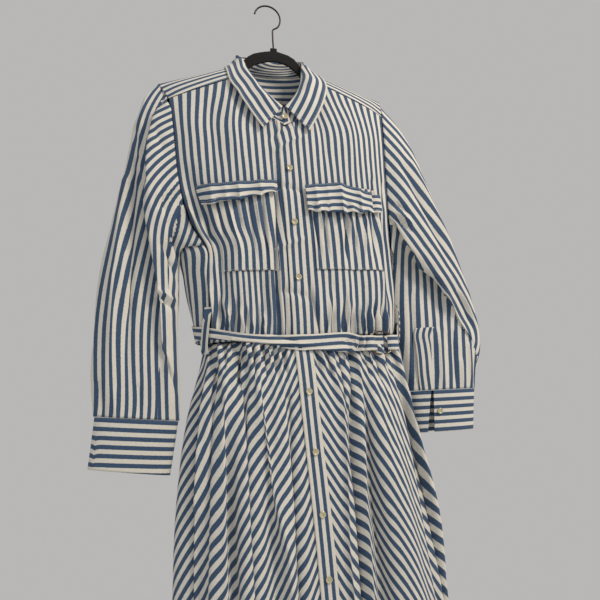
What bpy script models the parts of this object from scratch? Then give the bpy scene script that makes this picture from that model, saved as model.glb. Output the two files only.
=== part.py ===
"""Shirt dress on a hanger.

A striped cotton shirt dress, buttoned to the collar and belted, hangs on a slim arched
hanger. Every panel that a maker would cut is its own wall of cloth: yoke, bodice fronts
and back, sleeves, cuffs, collar, pockets, flaps, plackets, skirt panels and belt.

Metres, +Z up. The origin is the inner top of the hanger's hook, where a rail or a nail
holds it. The dress faces -Y, and the viewer's right is +X. Most heights are given as a
"drop", the distance below the origin. "right" and "left" in names are the wearer's, so
the wearer's right is at -X.
"""

import bmesh
import bpy
import numpy as np
from mathutils import Vector

# ---------------------------------------------------------------- driving sizes, metres

WALL = 0.0015            # thickness of a wall of cloth
SEAM_GAP = 0.0004        # each panel stops this short of a seam line
LAYER = WALL + 0.0004    # one layer of cloth lying on another
BODY_ROUNDNESS = 2.4     # exponent of the body's oval, 2 is an ellipse

WAIST_DROP = 0.590
HEM_DROP = 1.350
UNDERARM_DROP = 0.440
BACK_YOKE_DROP = 0.250
FLAP_TOP_DROP = 0.346
FLAP_END_DROP = 0.384
POCKET_END_DROP = 0.484
PLACKET_HALF = 0.0138

RIDGE_BLEND = 0.095      # the shoulders reach full depth this far below their ridge
SHOULDER_FULLNESS = 0.62     # exponent of that growth in depth, lower is rounder
OVAL_STEPS = 180         # chords that stand for half the body's oval when it is measured
CLOTH_STEP = 0.002       # a direction along the cloth is read this far to either side
TURN_STEP = 0.01         # and a direction round the oval this many radians

BUTTON_RADIUS = 0.0052
BUTTON_THICKNESS = 0.0022
BUTTON_SPACING = 0.0886
COLLAR_BUTTON_DROP = 0.2300

HOOK_WIRE = 0.0032
HOOK_RADIUS = 0.0218
HANGER_THICKNESS = 0.0046


def table(columns, *rows):
    """A short table as one array for each named column."""
    names = columns.split()
    return {name: np.array([row[i] for row in rows], float) for i, name in enumerate(names)}


# The body's outline at each drop: how far it reaches to each side of x = 0 and how deep
# it is in front of and behind y = 0. "placket" is the x of the centre front.
BODY = table(
    "drop   right   left    front   back    placket",
    (0.118, 0.2000, 0.2040, 0.0500, 0.0320, 0.000),
    (0.200, 0.2000, 0.2060, 0.0540, 0.0330, 0.000),
    (0.320, 0.1920, 0.2000, 0.0580, 0.0350, 0.001),
    (0.440, 0.1670, 0.1900, 0.0580, 0.0360, 0.003),
    (0.500, 0.1610, 0.1900, 0.0580, 0.0370, 0.003),
    (0.560, 0.1530, 0.1870, 0.0560, 0.0350, 0.004),
    (0.590, 0.1480, 0.1830, 0.0530, 0.0330, 0.004),
    (0.625, 0.1560, 0.1870, 0.0580, 0.0360, 0.005),
    (0.693, 0.1700, 0.1990, 0.0660, 0.0400, 0.005),
    (0.758, 0.1800, 0.2050, 0.0700, 0.0430, 0.006),
    (0.855, 0.1920, 0.2160, 0.0760, 0.0470, 0.008),
    (1.034, 0.2040, 0.2300, 0.0840, 0.0540, 0.010),
    (1.350, 0.2260, 0.2520, 0.0940, 0.0640, 0.012),
)

# Where the front panels end at their armhole and then at their side seam, as x.
FRONT_EDGE_RIGHT = table(
    "drop   x",
    (0.160, -0.1950),
    (0.185, -0.1850),
    (0.200, -0.1790),
    (0.321, -0.1720),
    (0.365, -0.1660),
    (0.385, -0.1600),
    (0.417, -0.1500),
    (0.440, -0.1380),
    (0.520, -0.1340),
    (0.590, -0.1380),
    (0.700, -0.1580),
    (1.350, -0.2080),
)
FRONT_EDGE_LEFT = table(
    "drop   x",
    (0.160, 0.1990),
    (0.185, 0.1950),
    (0.200, 0.1920),
    (0.300, 0.1840),
    (0.373, 0.1835),
    (0.440, 0.1865),
    (0.520, 0.1865),
    (0.590, 0.1800),
    (0.700, 0.1960),
    (1.350, 0.2460),
)

# Where the back panel ends, as degrees round from the centre back.
BACK_EDGE = table(
    "drop   right  left",
    (0.160, 77.0,  77.0),
    (0.200, 66.0,  66.0),
    (0.300, 62.0,  62.0),
    (0.360, 70.0,  66.0),
    (0.400, 88.0,  72.0),
    (0.425, 108.0, 80.0),
)

# The top of the shoulders, and the seam in front that joins yoke and fronts, by |x|.
SHOULDER = table(
    "x      ridge   front_seam",
    (0.000, 0.1120, 0.1500),
    (0.062, 0.1200, 0.1560),
    (0.085, 0.1270, 0.1630),
    (0.120, 0.1390, 0.1760),
    (0.160, 0.1520, 0.1900),
    (0.200, 0.1640, 0.2040),
)

# The collar by angle from the centre front to the centre back. The neck hole is the
# stand's lower edge, the fold its upper edge, and the leaf falls from there to its rim.
NECK = table(
    "angle  x       drop    y",
    (0,     0.0000, 0.2460, -0.0560),
    (25,    0.0250, 0.2320, -0.0553),
    (50,    0.0460, 0.2020, -0.0531),
    (75,    0.0610, 0.1570, -0.0382),
    (85,    0.0627, 0.1370, -0.0243),
    (95,    0.0650, 0.1215, 0.0026),
    (120,   0.0590, 0.1200, 0.0150),
    (150,   0.0340, 0.1200, 0.0250),
    (180,   0.0000, 0.1200, 0.0285),
)
FOLD_EDGE = table(
    "angle  x       drop    y",
    (0,     0.0000, 0.2170, -0.0560),
    (25,    0.0190, 0.1960, -0.0480),
    (50,    0.0370, 0.1690, -0.0360),
    (75,    0.0500, 0.1330, -0.0170),
    (95,    0.0560, 0.1020, 0.0000),
    (120,   0.0520, 0.0930, 0.0140),
    (150,   0.0300, 0.0900, 0.0230),
    (180,   0.0000, 0.0890, 0.0260),
)
LEAF_RIM = table(
    "angle  x       drop    y",
    (0,     0.0370, 0.2580, -0.0640),
    (25,    0.0560, 0.2280, -0.0610),
    (50,    0.0740, 0.1920, -0.0540),
    (75,    0.0850, 0.1570, -0.0340),
    (95,    0.0820, 0.1210, 0.0000),
    (120,   0.0740, 0.1210, 0.0230),
    (150,   0.0430, 0.1280, 0.0350),
    (180,   0.0000, 0.1300, 0.0380),
)


def read(section, name, at, key="drop"):
    """A column read between its rows by a monotone cubic, which never overshoots them."""
    stations = section[key]
    values = section[name]
    steps = np.diff(stations)
    slopes = np.diff(values) / steps
    tangents = np.zeros(len(values))
    product = slopes[:-1] * slopes[1:]
    total = slopes[:-1] + slopes[1:]
    steady = product > 0
    tangents[1:-1][steady] = 2 * product[steady] / total[steady]
    tangents[0] = slopes[0]
    tangents[-1] = slopes[-1]
    at = np.clip(np.asarray(at, float), stations[0], stations[-1])
    cell = np.clip(np.searchsorted(stations, at, side="right") - 1, 0, len(steps) - 1)
    t = (at - stations[cell]) / steps[cell]
    rise = (3 - 2 * t) * t * t
    enter = t * (1 - t) ** 2 * tangents[cell]
    leave = t * t * (t - 1) * tangents[cell + 1]
    return values[cell] * (1 - rise) + values[cell + 1] * rise + steps[cell] * (enter + leave)


def ease(value):
    """0 to 1 with level ends."""
    value = np.clip(value, 0, 1)
    return value * value * (3 - 2 * value)


# ---------------------------------------------------------------- the form of the body


def oval(drop, turn):
    """x and y of the body's oval at a drop, turned from the centre front towards +X."""
    right = read(BODY, "right", drop)
    left = read(BODY, "left", drop)
    power = 2 / BODY_ROUNDNESS
    across = np.sign(np.sin(turn)) * np.abs(np.sin(turn)) ** power
    along = np.sign(np.cos(turn)) * np.abs(np.cos(turn)) ** power
    x = (left - right) / 2 + (left + right) / 2 * across
    depth = np.where(along > 0, read(BODY, "front", drop), read(BODY, "back", drop))
    below_ridge = drop - read(SHOULDER, "ridge", np.abs(x), "x")
    rise = 1 - (1 - np.clip(below_ridge / RIDGE_BLEND, 0, 1)) ** 2
    return x, -depth * along * rise ** SHOULDER_FULLNESS


def turn_at(drop, x):
    """The turn at which the front of the oval reaches x."""
    right = read(BODY, "right", drop)
    left = read(BODY, "left", drop)
    across = (x - (left - right) / 2) / ((left + right) / 2)
    across = np.clip(across, -0.9999, 0.9999)
    return np.arcsin(np.sign(across) * np.abs(across) ** (BODY_ROUNDNESS / 2))


def front_edge_turn(side, drop):
    """The turn at which a front ends. side is -1 for the wearer's right, +1 for the left."""
    edge = FRONT_EDGE_RIGHT if side < 0 else FRONT_EDGE_LEFT
    return turn_at(drop, read(edge, "x", drop))


def back_edge_turn(side, drop):
    """The turn at which the back ends: its armhole, then the side seam that it shares."""
    name = "right" if side < 0 else "left"
    armhole = side * (np.pi - np.radians(read(BACK_EDGE, name, drop)))
    seam = front_edge_turn(side, max(drop, UNDERARM_DROP))
    last = BACK_EDGE["drop"][-1]
    blend = ease((drop - last) / (UNDERARM_DROP - last))
    return armhole * (1 - blend) + seam * blend


def walk(drop, start, end, amounts, fixed=0.0):
    """Points of the oval from one turn to another, spread evenly by length of cloth.

    amounts run from 0 to 1. The first part of the way, "fixed" metres, is read from
    amounts below 0, where -1 is the start: it holds the placket's constant width.
    """
    halves = 2 if abs(end - start) > np.pi else 1
    turns = np.linspace(start, end, halves * OVAL_STEPS + 1)
    x, y = oval(drop, turns)
    lengths = np.concatenate([[0], np.cumsum(np.hypot(np.diff(x), np.diff(y)))])
    amounts = np.asarray(amounts, float)
    wanted = np.where(amounts < 0, (amounts + 1) * fixed,
                      fixed + amounts * (lengths[-1] - fixed))
    px = np.interp(wanted, lengths, x)
    py = np.interp(wanted, lengths, y)
    ahead = np.clip(wanted + CLOTH_STEP, 0, lengths[-1])
    behind = np.clip(wanted - CLOTH_STEP, 0, lengths[-1])
    tx = np.interp(ahead, lengths, x) - np.interp(behind, lengths, x)
    ty = np.interp(ahead, lengths, y) - np.interp(behind, lengths, y)
    size = np.hypot(tx, ty)
    way = 1 if end > start else -1
    return px, py, way * ty / size, -way * tx / size


# ---------------------------------------------------------------- folds and gathers

# A fold runs down a panel as a soft ridge (height above 0) or valley (below 0). "top" and
# "end" are its place across the panel, 0 at the centre and 1 at the side seam; it starts
# and stops at the two drops, and "width" is its half width as a share of the panel.
FOLD_COLUMNS = "top   end    start   stop    height  width"

BODICE_FRONT_RIGHT_FOLDS = table(
    FOLD_COLUMNS,
    (0.93, 0.80, 0.300, 0.470, -0.0060, 0.07),
    (0.60, 0.64, 0.400, 0.585, 0.0035, 0.08),
    (0.34, 0.36, 0.490, 0.590, -0.0040, 0.07),
    (0.78, 0.90, 0.440, 0.590, -0.0050, 0.06),
)
BODICE_FRONT_LEFT_FOLDS = table(
    FOLD_COLUMNS,
    (0.90, 0.86, 0.370, 0.560, -0.0070, 0.05),
    (0.45, 0.50, 0.400, 0.590, -0.0035, 0.06),
    (0.70, 0.66, 0.430, 0.590, 0.0040, 0.07),
    (0.24, 0.22, 0.480, 0.590, -0.0030, 0.06),
)
BODICE_BACK_FOLDS = table(
    FOLD_COLUMNS,
    (0.12, 0.16, 0.260, 0.590, 0.0040, 0.10),
    (0.30, 0.30, 0.300, 0.590, -0.0050, 0.08),
    (0.50, 0.48, 0.260, 0.590, 0.0050, 0.09),
    (0.70, 0.74, 0.280, 0.590, -0.0050, 0.08),
    (0.88, 0.84, 0.270, 0.590, 0.0040, 0.08),
)
SKIRT_FRONT_RIGHT_FOLDS = table(
    FOLD_COLUMNS,
    (0.16, 0.14, 0.600, 1.350, 0.0060, 0.09),
    (0.36, 0.30, 0.600, 1.350, -0.0090, 0.07),
    (0.54, 0.48, 0.600, 1.350, 0.0080, 0.10),
    (0.70, 0.66, 0.620, 1.350, -0.0110, 0.06),
    (0.86, 0.84, 0.620, 1.350, 0.0070, 0.08),
)
SKIRT_FRONT_LEFT_FOLDS = table(
    FOLD_COLUMNS,
    (0.20, 0.14, 0.620, 1.350, 0.0050, 0.10),
    (0.44, 0.26, 0.596, 1.350, -0.0200, 0.05),
    (0.60, 0.48, 0.640, 1.350, 0.0080, 0.13),
    (0.88, 0.82, 0.620, 1.350, -0.0110, 0.05),
    (0.97, 0.94, 0.640, 1.350, 0.0060, 0.05),
)
SKIRT_BACK_FOLDS = table(
    FOLD_COLUMNS,
    (0.08, 0.08, 0.610, 1.350, 0.0070, 0.04),
    (0.18, 0.17, 0.600, 1.350, -0.0110, 0.04),
    (0.29, 0.30, 0.600, 1.350, 0.0090, 0.05),
    (0.41, 0.40, 0.620, 1.350, -0.0120, 0.04),
    (0.52, 0.53, 0.600, 1.350, 0.0100, 0.05),
    (0.63, 0.62, 0.600, 1.350, -0.0100, 0.04),
    (0.75, 0.76, 0.620, 1.350, 0.0090, 0.05),
    (0.86, 0.85, 0.600, 1.350, -0.0110, 0.04),
    (0.94, 0.94, 0.620, 1.350, 0.0060, 0.03),
)

GATHER_HEIGHT = 0.0021
GATHER_REACH_UP = 0.055
GATHER_REACH_DOWN = 0.075
GATHER_UNEVEN = 0.28     # how much one gather differs from the next
GATHER_BEAT = 2.7        # radians from one gather to the next in that unevenness
GATHER_CALM = 0.05       # no gathers this near a panel's edges, as a share of its width
BELT_CALM = 0.075        # folds lie flatter than their full height this near the waist
SEAM_CALM = 0.05         # and this near a panel's edges, as a share of its width
FOLD_GROWS = 0.30        # shares of a fold's run in which it comes and goes
FOLD_FADES = 0.25
FOLD_TO_SEAM = 0.020     # a fold that stops this near the waist runs on into its seam


def fold_relief(folds, across, drop):
    """How far a panel's folds stand out from its plain form."""
    relief = np.zeros(np.shape(across))
    for i in range(len(folds["top"])):
        reach = folds["stop"][i] - folds["start"][i]
        travel = np.clip((drop - folds["start"][i]) / reach, 0, 1)
        centre = folds["top"][i] + (folds["end"][i] - folds["top"][i]) * travel
        strength = ease((drop - folds["start"][i]) / (FOLD_GROWS * reach))
        if folds["stop"][i] < WAIST_DROP - FOLD_TO_SEAM:
            strength *= ease((folds["stop"][i] - drop) / (FOLD_FADES * reach))
        bell = np.exp(-((across - centre) / folds["width"][i]) ** 2)
        relief += folds["height"][i] * strength * bell
    return relief


def gather_relief(column, across, drop):
    """Small pleats drawn into the waist seam: one ridge for every second column."""
    reach = GATHER_REACH_UP if drop < WAIST_DROP else GATHER_REACH_DOWN
    size = GATHER_HEIGHT * np.exp(-abs(drop - WAIST_DROP) / reach)
    uneven = 1 - GATHER_UNEVEN + GATHER_UNEVEN * np.sin(GATHER_BEAT * column)
    ends = ease(across / GATHER_CALM) * ease((1 - across) / GATHER_CALM)
    return size * uneven * ends * np.where(column % 2 == 0, 1, -1)


# ---------------------------------------------------------------- building tools


def material(name, colour, roughness, metallic=0.0):
    """A Principled material with one plain colour."""
    made = bpy.data.materials.get(name)
    if made is None:
        made = bpy.data.materials.new(name)
        made.use_nodes = True
        shader = made.node_tree.nodes["Principled BSDF"]
        shader.inputs["Base Color"].default_value = (*colour, 1)
        shader.inputs["Roughness"].default_value = roughness
        shader.inputs["Metallic"].default_value = metallic
    return made


def start_collection(name):
    made = bpy.data.collections.new(name)
    bpy.context.scene.collection.children.link(made)
    return made


def add_object(name, mesh, finish):
    """Put a finished mesh in the dress's collection."""
    made = bpy.data.objects.new(name, mesh)
    mesh.materials.append(finish)
    mesh.shade_smooth()
    mesh.set_sharp_from_angle(angle=np.radians(40))
    DRESS.objects.link(made)
    return made


def surface_normals(points, closed=False):
    """Normals of a grid of points, columns along the second axis: the mean of the cells
    that meet at each point."""
    if closed:
        points = np.concatenate([points, points[:, :1]], 1)
    falling = points[1:, 1:] - points[:-1, :-1]
    rising = points[:-1, 1:] - points[1:, :-1]
    cells = np.cross(falling, rising)
    cells /= np.maximum(np.linalg.norm(cells, axis=2, keepdims=True), 1e-12)
    normals = np.zeros(points.shape)
    normals[:-1, :-1] += cells
    normals[1:, :-1] += cells
    normals[:-1, 1:] += cells
    normals[1:, 1:] += cells
    if closed:
        normals[:, 0] += normals[:, -1]
        normals = normals[:, :-1]
    size = np.linalg.norm(normals, axis=2, keepdims=True)
    return normals / np.maximum(size, 1e-12)


def wall(name, points, normals, finish, lift=0.0, thickness=WALL, closed=False, skip=None):
    """A wall of cloth: a grid moved onto its points, extruded through its thickness.

    points and normals are rows by columns by 3. A closed wall joins its last column to
    its first. skip(row, column) is true for cells that are cut away.
    """
    rows, columns = points.shape[:2]
    cells_across = columns if closed else columns - 1
    bm = bmesh.new()
    place = bm.verts.layers.int.new("place")
    bmesh.ops.create_grid(bm, x_segments=cells_across, y_segments=rows - 1, size=0.5)
    if skip is not None:
        cut = []
        for face in bm.faces:
            centre = face.calc_center_median()
            row = int((centre.y + 0.5) * (rows - 1))
            column = int((centre.x + 0.5) * cells_across)
            if skip(row, column):
                cut.append(face)
        bmesh.ops.delete(bm, geom=cut, context="FACES")
    outer = points + normals * (lift + thickness / 2)
    inner = points + normals * (lift - thickness / 2)
    for vertex in bm.verts:
        column = round((vertex.co.x + 0.5) * cells_across) % columns
        row = round((vertex.co.y + 0.5) * (rows - 1))
        vertex[place] = row * columns + column
        vertex.co = outer[row, column]
    if closed:
        bmesh.ops.remove_doubles(bm, verts=bm.verts, dist=1e-6)
    made = bmesh.ops.extrude_face_region(bm, geom=bm.faces[:])
    for item in made["geom"]:
        if isinstance(item, bmesh.types.BMVert):
            item.co = inner[item[place] // columns, item[place] % columns]
    bmesh.ops.triangulate(bm, faces=bm.faces[:])
    bmesh.ops.recalc_face_normals(bm, faces=bm.faces)
    mesh = bpy.data.meshes.new(name)
    bm.to_mesh(mesh)
    bm.free()
    return add_object(name, mesh, finish)


def pull_in(points, edge, amount=SEAM_GAP):
    """Shorten a grid at one edge, so that it stops short of its seam line."""
    order = {"first_row": (0, 1, 0), "last_row": (-1, -2, 0),
             "first_column": (0, 1, 1), "last_column": (-1, -2, 1)}
    last, before, axis = order[edge]
    rim = np.take(points, last, axis)
    way = np.take(points, before, axis) - rim
    way = way / np.maximum(np.linalg.norm(way, axis=1, keepdims=True), 1e-9)
    if axis == 0:
        points[last] = rim + way * amount
    else:
        points[:, last] = rim + way * amount
    return points


def share_normals(first, second, first_column, second_column, rows):
    """Give two panels the same normals along the rows of the seam between them."""
    total = first[rows, first_column] + second[rows, second_column]
    total /= np.linalg.norm(total, axis=1, keepdims=True)
    first[rows, first_column] = total
    second[rows, second_column] = total


def level(normals, row):
    """Turn one row's normals level, so that the wall's edge there is a level face."""
    normals[row, :, 2] = 0
    normals[row] /= np.linalg.norm(normals[row], axis=1, keepdims=True)


for item in list(bpy.data.objects):
    bpy.data.objects.remove(item, do_unlink=True)
DRESS = start_collection("shirt_dress_on_hanger")

COTTON = material("striped_cotton", (0.33, 0.42, 0.56), 0.85)
LABEL = material("woven_label", (0.78, 0.74, 0.64), 0.8)
SHELL = material("button_shell", (0.76, 0.70, 0.55), 0.35)
RING_METAL = material("ring_metal", (0.62, 0.58, 0.50), 0.3, 1.0)
FLOCK = material("black_flock", (0.012, 0.012, 0.013), 0.95)
HOOK_METAL = material("dark_wire", (0.03, 0.025, 0.025), 0.35, 1.0)

# ---------------------------------------------------------------- bodice

FRONT_COLUMNS = 20
BACK_COLUMNS = 32
POCKET_FIRST = 3
POCKET_LAST = 17
BODICE_DROPS = np.array([0.262, 0.305, FLAP_TOP_DROP, FLAP_END_DROP, 0.417, UNDERARM_DROP,
                         POCKET_END_DROP, 0.512, 0.538, 0.562, WAIST_DROP])
FLAP_ROWS = (3, 4)
POCKET_ROWS = (3, 7)


def neck_front(x):
    """The drop of the neck hole's front half at x."""
    front_half = {name: values[:6] for name, values in NECK.items()}
    return read(front_half, "drop", np.abs(x), "x")


def front_top(x):
    """The top edge of a front panel: the neck hole, then the yoke's seam."""
    seam = read(SHOULDER, "front_seam", np.abs(x), "x")
    return np.maximum(seam, neck_front(x))


def row_on_front(side, across, drops):
    """Points and outward directions for a row whose drop may change along it."""
    points = np.zeros((len(across), 3))
    outward = np.zeros((len(across), 2))
    for i, (amount, drop) in enumerate(zip(across, drops)):
        middle = turn_at(drop, read(BODY, "placket", drop))
        edge = front_edge_turn(side, drop)
        x, y, nx, ny = walk(drop, middle, edge, [amount], PLACKET_HALF)
        points[i] = x[0], y[0], -drop
        outward[i] = nx[0], ny[0]
    return points, outward


def front_panel(side, drops, columns, folds, with_top):
    """The grid of a front panel of bodice or skirt. Of its columns, -1 is the centre
    front, 0 the placket's edge and 1 the side."""
    across = np.concatenate([[-1.0], np.linspace(0, 1, columns + 1)])
    rows = []
    if with_top:
        first_guess = (NECK["drop"][0] + SHOULDER["front_seam"][-1]) / 2
        guess, _ = row_on_front(side, across, np.full(len(across), first_guess))
        for _ in range(4):
            guess, _ = row_on_front(side, across, front_top(guess[:, 0]))
        rows.append(guess)
    index = np.arange(len(across)) - 1
    for drop in drops:
        points, outward = row_on_front(side, across, np.full(len(across), drop))
        inside = np.clip(across, 0, 1)
        relief = fold_relief(folds, inside, drop) * (across > 0)
        relief = relief * ease(inside / SEAM_CALM) * ease((1 - inside) / SEAM_CALM)
        relief = relief * ease(abs(WAIST_DROP - drop) / BELT_CALM)
        relief = relief + gather_relief(index, inside, drop) * (across > 0)
        points[:, :2] += outward * relief[:, None]
        rows.append(points)
    return np.array(rows)


def back_panel(drops, columns, folds):
    """The grid of a back panel, from the wearer's left side round to the right."""
    across = np.linspace(0, 1, columns + 1)
    index = np.arange(columns + 1)
    rows = []
    for drop in drops:
        start = back_edge_turn(1, drop)
        end = 2 * np.pi + back_edge_turn(-1, drop)
        x, y, nx, ny = walk(drop, start, end, across)
        relief = fold_relief(folds, across, drop)
        relief = relief * ease(across / SEAM_CALM) * ease((1 - across) / SEAM_CALM)
        relief = relief * ease(abs(WAIST_DROP - drop) / BELT_CALM)
        relief = relief + gather_relief(index, across, drop)
        rows.append(np.stack([x + nx * relief, y + ny * relief, np.full(len(x), -drop)], 1))
    return np.array(rows)


BACK_DROPS = np.concatenate([[BACK_YOKE_DROP], BODICE_DROPS[1:]])
fronts = {
    -1: front_panel(-1, BODICE_DROPS, FRONT_COLUMNS, BODICE_FRONT_RIGHT_FOLDS, True),
    1: front_panel(1, BODICE_DROPS, FRONT_COLUMNS, BODICE_FRONT_LEFT_FOLDS, True),
}
back = back_panel(BACK_DROPS, BACK_COLUMNS, BODICE_BACK_FOLDS)
normals = {side: surface_normals(fronts[side]) * side for side in (-1, 1)}
back_normals = surface_normals(back)

every_row = slice(0, None)
share_normals(normals[-1], normals[1], 0, 0, every_row)
below_arm = int(np.searchsorted(BACK_DROPS, UNDERARM_DROP))
for side, back_column in ((1, 0), (-1, -1)):
    # A front has one row more than the back, its top edge.
    joined = normals[side][below_arm + 1:, -1] + back_normals[below_arm:, back_column]
    joined /= np.linalg.norm(joined, axis=1, keepdims=True)
    normals[side][below_arm + 1:, -1] = joined
    back_normals[below_arm:, back_column] = joined
    level(normals[side], -1)
level(back_normals, -1)

SIDE_NAMES = {-1: "right", 1: "left"}
for side, name in SIDE_NAMES.items():
    panel = fronts[side].copy()
    for edge in ("first_row", "last_row", "first_column", "last_column"):
        pull_in(panel, edge)
    wall(f"bodice_front_{name}", panel, normals[side], COTTON)

    pocket = slice(POCKET_ROWS[0], POCKET_ROWS[1] + 1)
    across = slice(POCKET_FIRST, POCKET_LAST + 1)
    wall(f"pocket_{name}", fronts[side][pocket, across], normals[side][pocket, across],
         COTTON, lift=LAYER)
    flap = slice(FLAP_ROWS[0], FLAP_ROWS[1] + 1)
    flap_across = slice(POCKET_FIRST - 1, POCKET_LAST + 2)
    wall(f"pocket_flap_{name}", fronts[side][flap, flap_across],
         normals[side][flap, flap_across], COTTON, lift=2 * LAYER)

panel = back.copy()
for edge in ("first_row", "last_row", "first_column", "last_column"):
    pull_in(panel, edge)
wall("bodice_back", panel, back_normals, COTTON)


def placket_grid(right, left, right_normals, left_normals):
    """The strip that lies over both centre fronts: edge, centre, edge."""
    points = np.stack([right[:, 1], (right[:, 0] + left[:, 0]) / 2, left[:, 1]], 1)
    facing = np.stack([right_normals[:, 1], right_normals[:, 0], left_normals[:, 1]], 1)
    return points, facing


points, facing = placket_grid(fronts[-1], fronts[1], normals[-1], normals[1])
pull_in(points, "last_row")
wall("placket_bodice", points, facing, COTTON, lift=LAYER)
bodice_placket = (points, facing)

# ---------------------------------------------------------------- skirt

SKIRT_FRONT_COLUMNS = 24
SKIRT_BACK_COLUMNS = 36
SKIRT_DROPS = np.array([WAIST_DROP, 0.612, 0.642, 0.690, 0.755, 0.840, 0.940, 1.060, 1.200,
                        HEM_DROP])
skirt = {
    -1: front_panel(-1, SKIRT_DROPS, SKIRT_FRONT_COLUMNS, SKIRT_FRONT_RIGHT_FOLDS, False),
    1: front_panel(1, SKIRT_DROPS, SKIRT_FRONT_COLUMNS, SKIRT_FRONT_LEFT_FOLDS, False),
}
skirt_back = back_panel(SKIRT_DROPS, SKIRT_BACK_COLUMNS, SKIRT_BACK_FOLDS)
skirt_normals = {side: surface_normals(skirt[side]) * side for side in (-1, 1)}
skirt_back_normals = surface_normals(skirt_back)
share_normals(skirt_normals[-1], skirt_normals[1], 0, 0, every_row)
for side, back_column in ((1, 0), (-1, -1)):
    share_normals(skirt_normals[side], skirt_back_normals, -1, back_column, every_row)
for facing in (skirt_normals[-1], skirt_normals[1], skirt_back_normals):
    level(facing, 0)

for side, name in SIDE_NAMES.items():
    panel = skirt[side].copy()
    for edge in ("first_row", "first_column", "last_column"):
        pull_in(panel, edge)
    wall(f"skirt_front_{name}", panel, skirt_normals[side], COTTON)
panel = skirt_back.copy()
for edge in ("first_row", "first_column", "last_column"):
    pull_in(panel, edge)
wall("skirt_back", panel, skirt_back_normals, COTTON)

points, facing = placket_grid(skirt[-1], skirt[1], skirt_normals[-1], skirt_normals[1])
pull_in(points, "first_row")
wall("placket_skirt", points, facing, COTTON, lift=LAYER)
skirt_placket = (points, facing)

# ---------------------------------------------------------------- yoke

YOKE_SIDE_CELLS = 7
YOKE_NECK_CELLS = 8
YOKE_FRONT_CELLS = 3
YOKE_BACK_DROPS = np.array([0.0, 0.137, 0.162, 0.182, 0.215, BACK_YOKE_DROP])
YOKE_BACK_START = 0.130      # the back slope's drops are counted from here
YOKE_NECK_FRONT = 0.0610     # half the neck hole's width at the front seam
YOKE_NECK_RIDGE = 0.0650     # and on the ridge
YOKE_EDGE_DROP = 0.170       # where the ridge reaches the yoke's outer edge
YOKE_ROLL = 0.7              # exponent of the front slope's rows, lower crowds the ridge
NECK_BACK_SWEEP = 85.0       # degrees round the neck from the centre back to the ridge
SHOULDER_TIP_X = 0.1955
SHOULDER_TIP_DROP = float(read(SHOULDER, "ridge", SHOULDER_TIP_X, "x"))


def back_surface(x, drop):
    """y of the back of the body where it is plain, above the folds."""
    right = read(BODY, "right", drop)
    left = read(BODY, "left", drop)
    across = (x - (left - right) / 2) / ((left + right) / 2)
    turn = np.pi - np.arcsin(np.sign(across) * np.abs(across) ** (BODY_ROUNDNESS / 2))
    return oval(drop, turn)[1]


def back_edge_x(side, drop):
    return oval(drop, back_edge_turn(side, drop))[0]


def front_surface(x, drop):
    """y of the front of the body at x, above the folds."""
    return oval(drop, turn_at(drop, x))[1]


def yoke_point(amount, row):
    """amount is -1 to 1 across, with the neck in the middle; rows run from the front seam
    over the ridge to the back seam."""
    side = -1 if amount < 0 else 1
    share = abs(amount)
    neck_share = YOKE_NECK_CELLS / (YOKE_NECK_CELLS + 2 * YOKE_SIDE_CELLS)
    out = (share - neck_share) / (1 - neck_share)
    edge_table = FRONT_EDGE_RIGHT if side < 0 else FRONT_EDGE_LEFT
    if row < YOKE_FRONT_CELLS:
        # The front slope, between the front seam and the ridge.
        way = row / YOKE_FRONT_CELLS
        inner = YOKE_NECK_FRONT + (YOKE_NECK_RIDGE - YOKE_NECK_FRONT) * way
        drop = YOKE_EDGE_DROP
        for _ in range(8):
            x = side * (inner + max(out, 0) * (abs(float(read(edge_table, "x", drop))) - inner))
            ridge = float(read(SHOULDER, "ridge", abs(x), "x"))
            seam = float(read(SHOULDER, "front_seam", abs(x), "x"))
            drop = seam + (ridge - seam) * way ** YOKE_ROLL
        return x, float(front_surface(x, drop)), -drop
    step = row - YOKE_FRONT_CELLS
    if share <= neck_share + 1e-9:
        angle = 180 - NECK_BACK_SWEEP * share / neck_share
        x = side * float(read(NECK, "x", angle, "angle"))
        y_neck = float(read(NECK, "y", angle, "angle"))
        top = float(read(NECK, "drop", angle, "angle"))
        seam_x = share * abs(back_edge_x(side, BACK_YOKE_DROP))
        way = step / (len(YOKE_BACK_DROPS) - 1)
        drop = top if step == 0 else YOKE_BACK_DROPS[step]
        x = x * (1 - way) + side * seam_x * way
        return x, max(y_neck, float(back_surface(x, drop))), -drop
    edge = abs(float(back_edge_x(side, YOKE_EDGE_DROP)))
    ridge_x = YOKE_NECK_RIDGE + out * (edge - YOKE_NECK_RIDGE)
    top = float(read(SHOULDER, "ridge", ridge_x, "x"))
    last = len(YOKE_BACK_DROPS) - 1
    way = (YOKE_BACK_DROPS[step] - YOKE_BACK_START) / (BACK_YOKE_DROP - YOKE_BACK_START)
    drop = top + (BACK_YOKE_DROP - top) * (way if step else 0.0)
    inner = YOKE_NECK_RIDGE * (1 - step / last)
    inner += neck_share * abs(float(back_edge_x(side, BACK_YOKE_DROP))) * step / last
    x = side * (inner + out * (abs(float(back_edge_x(side, drop))) - inner))
    if step == 0:
        return side * ridge_x, 0.0, -top
    return x, float(back_surface(x, drop)), -drop


YOKE_COLUMNS = YOKE_NECK_CELLS + 2 * YOKE_SIDE_CELLS
YOKE_ROWS = YOKE_FRONT_CELLS + len(YOKE_BACK_DROPS) - 1
amounts = np.linspace(-1, 1, YOKE_COLUMNS + 1)
yoke = np.array([[yoke_point(amount, row) for amount in amounts]
                 for row in range(YOKE_ROWS + 1)])
yoke_normals = -surface_normals(yoke)
shoulder_row = YOKE_FRONT_CELLS


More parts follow.
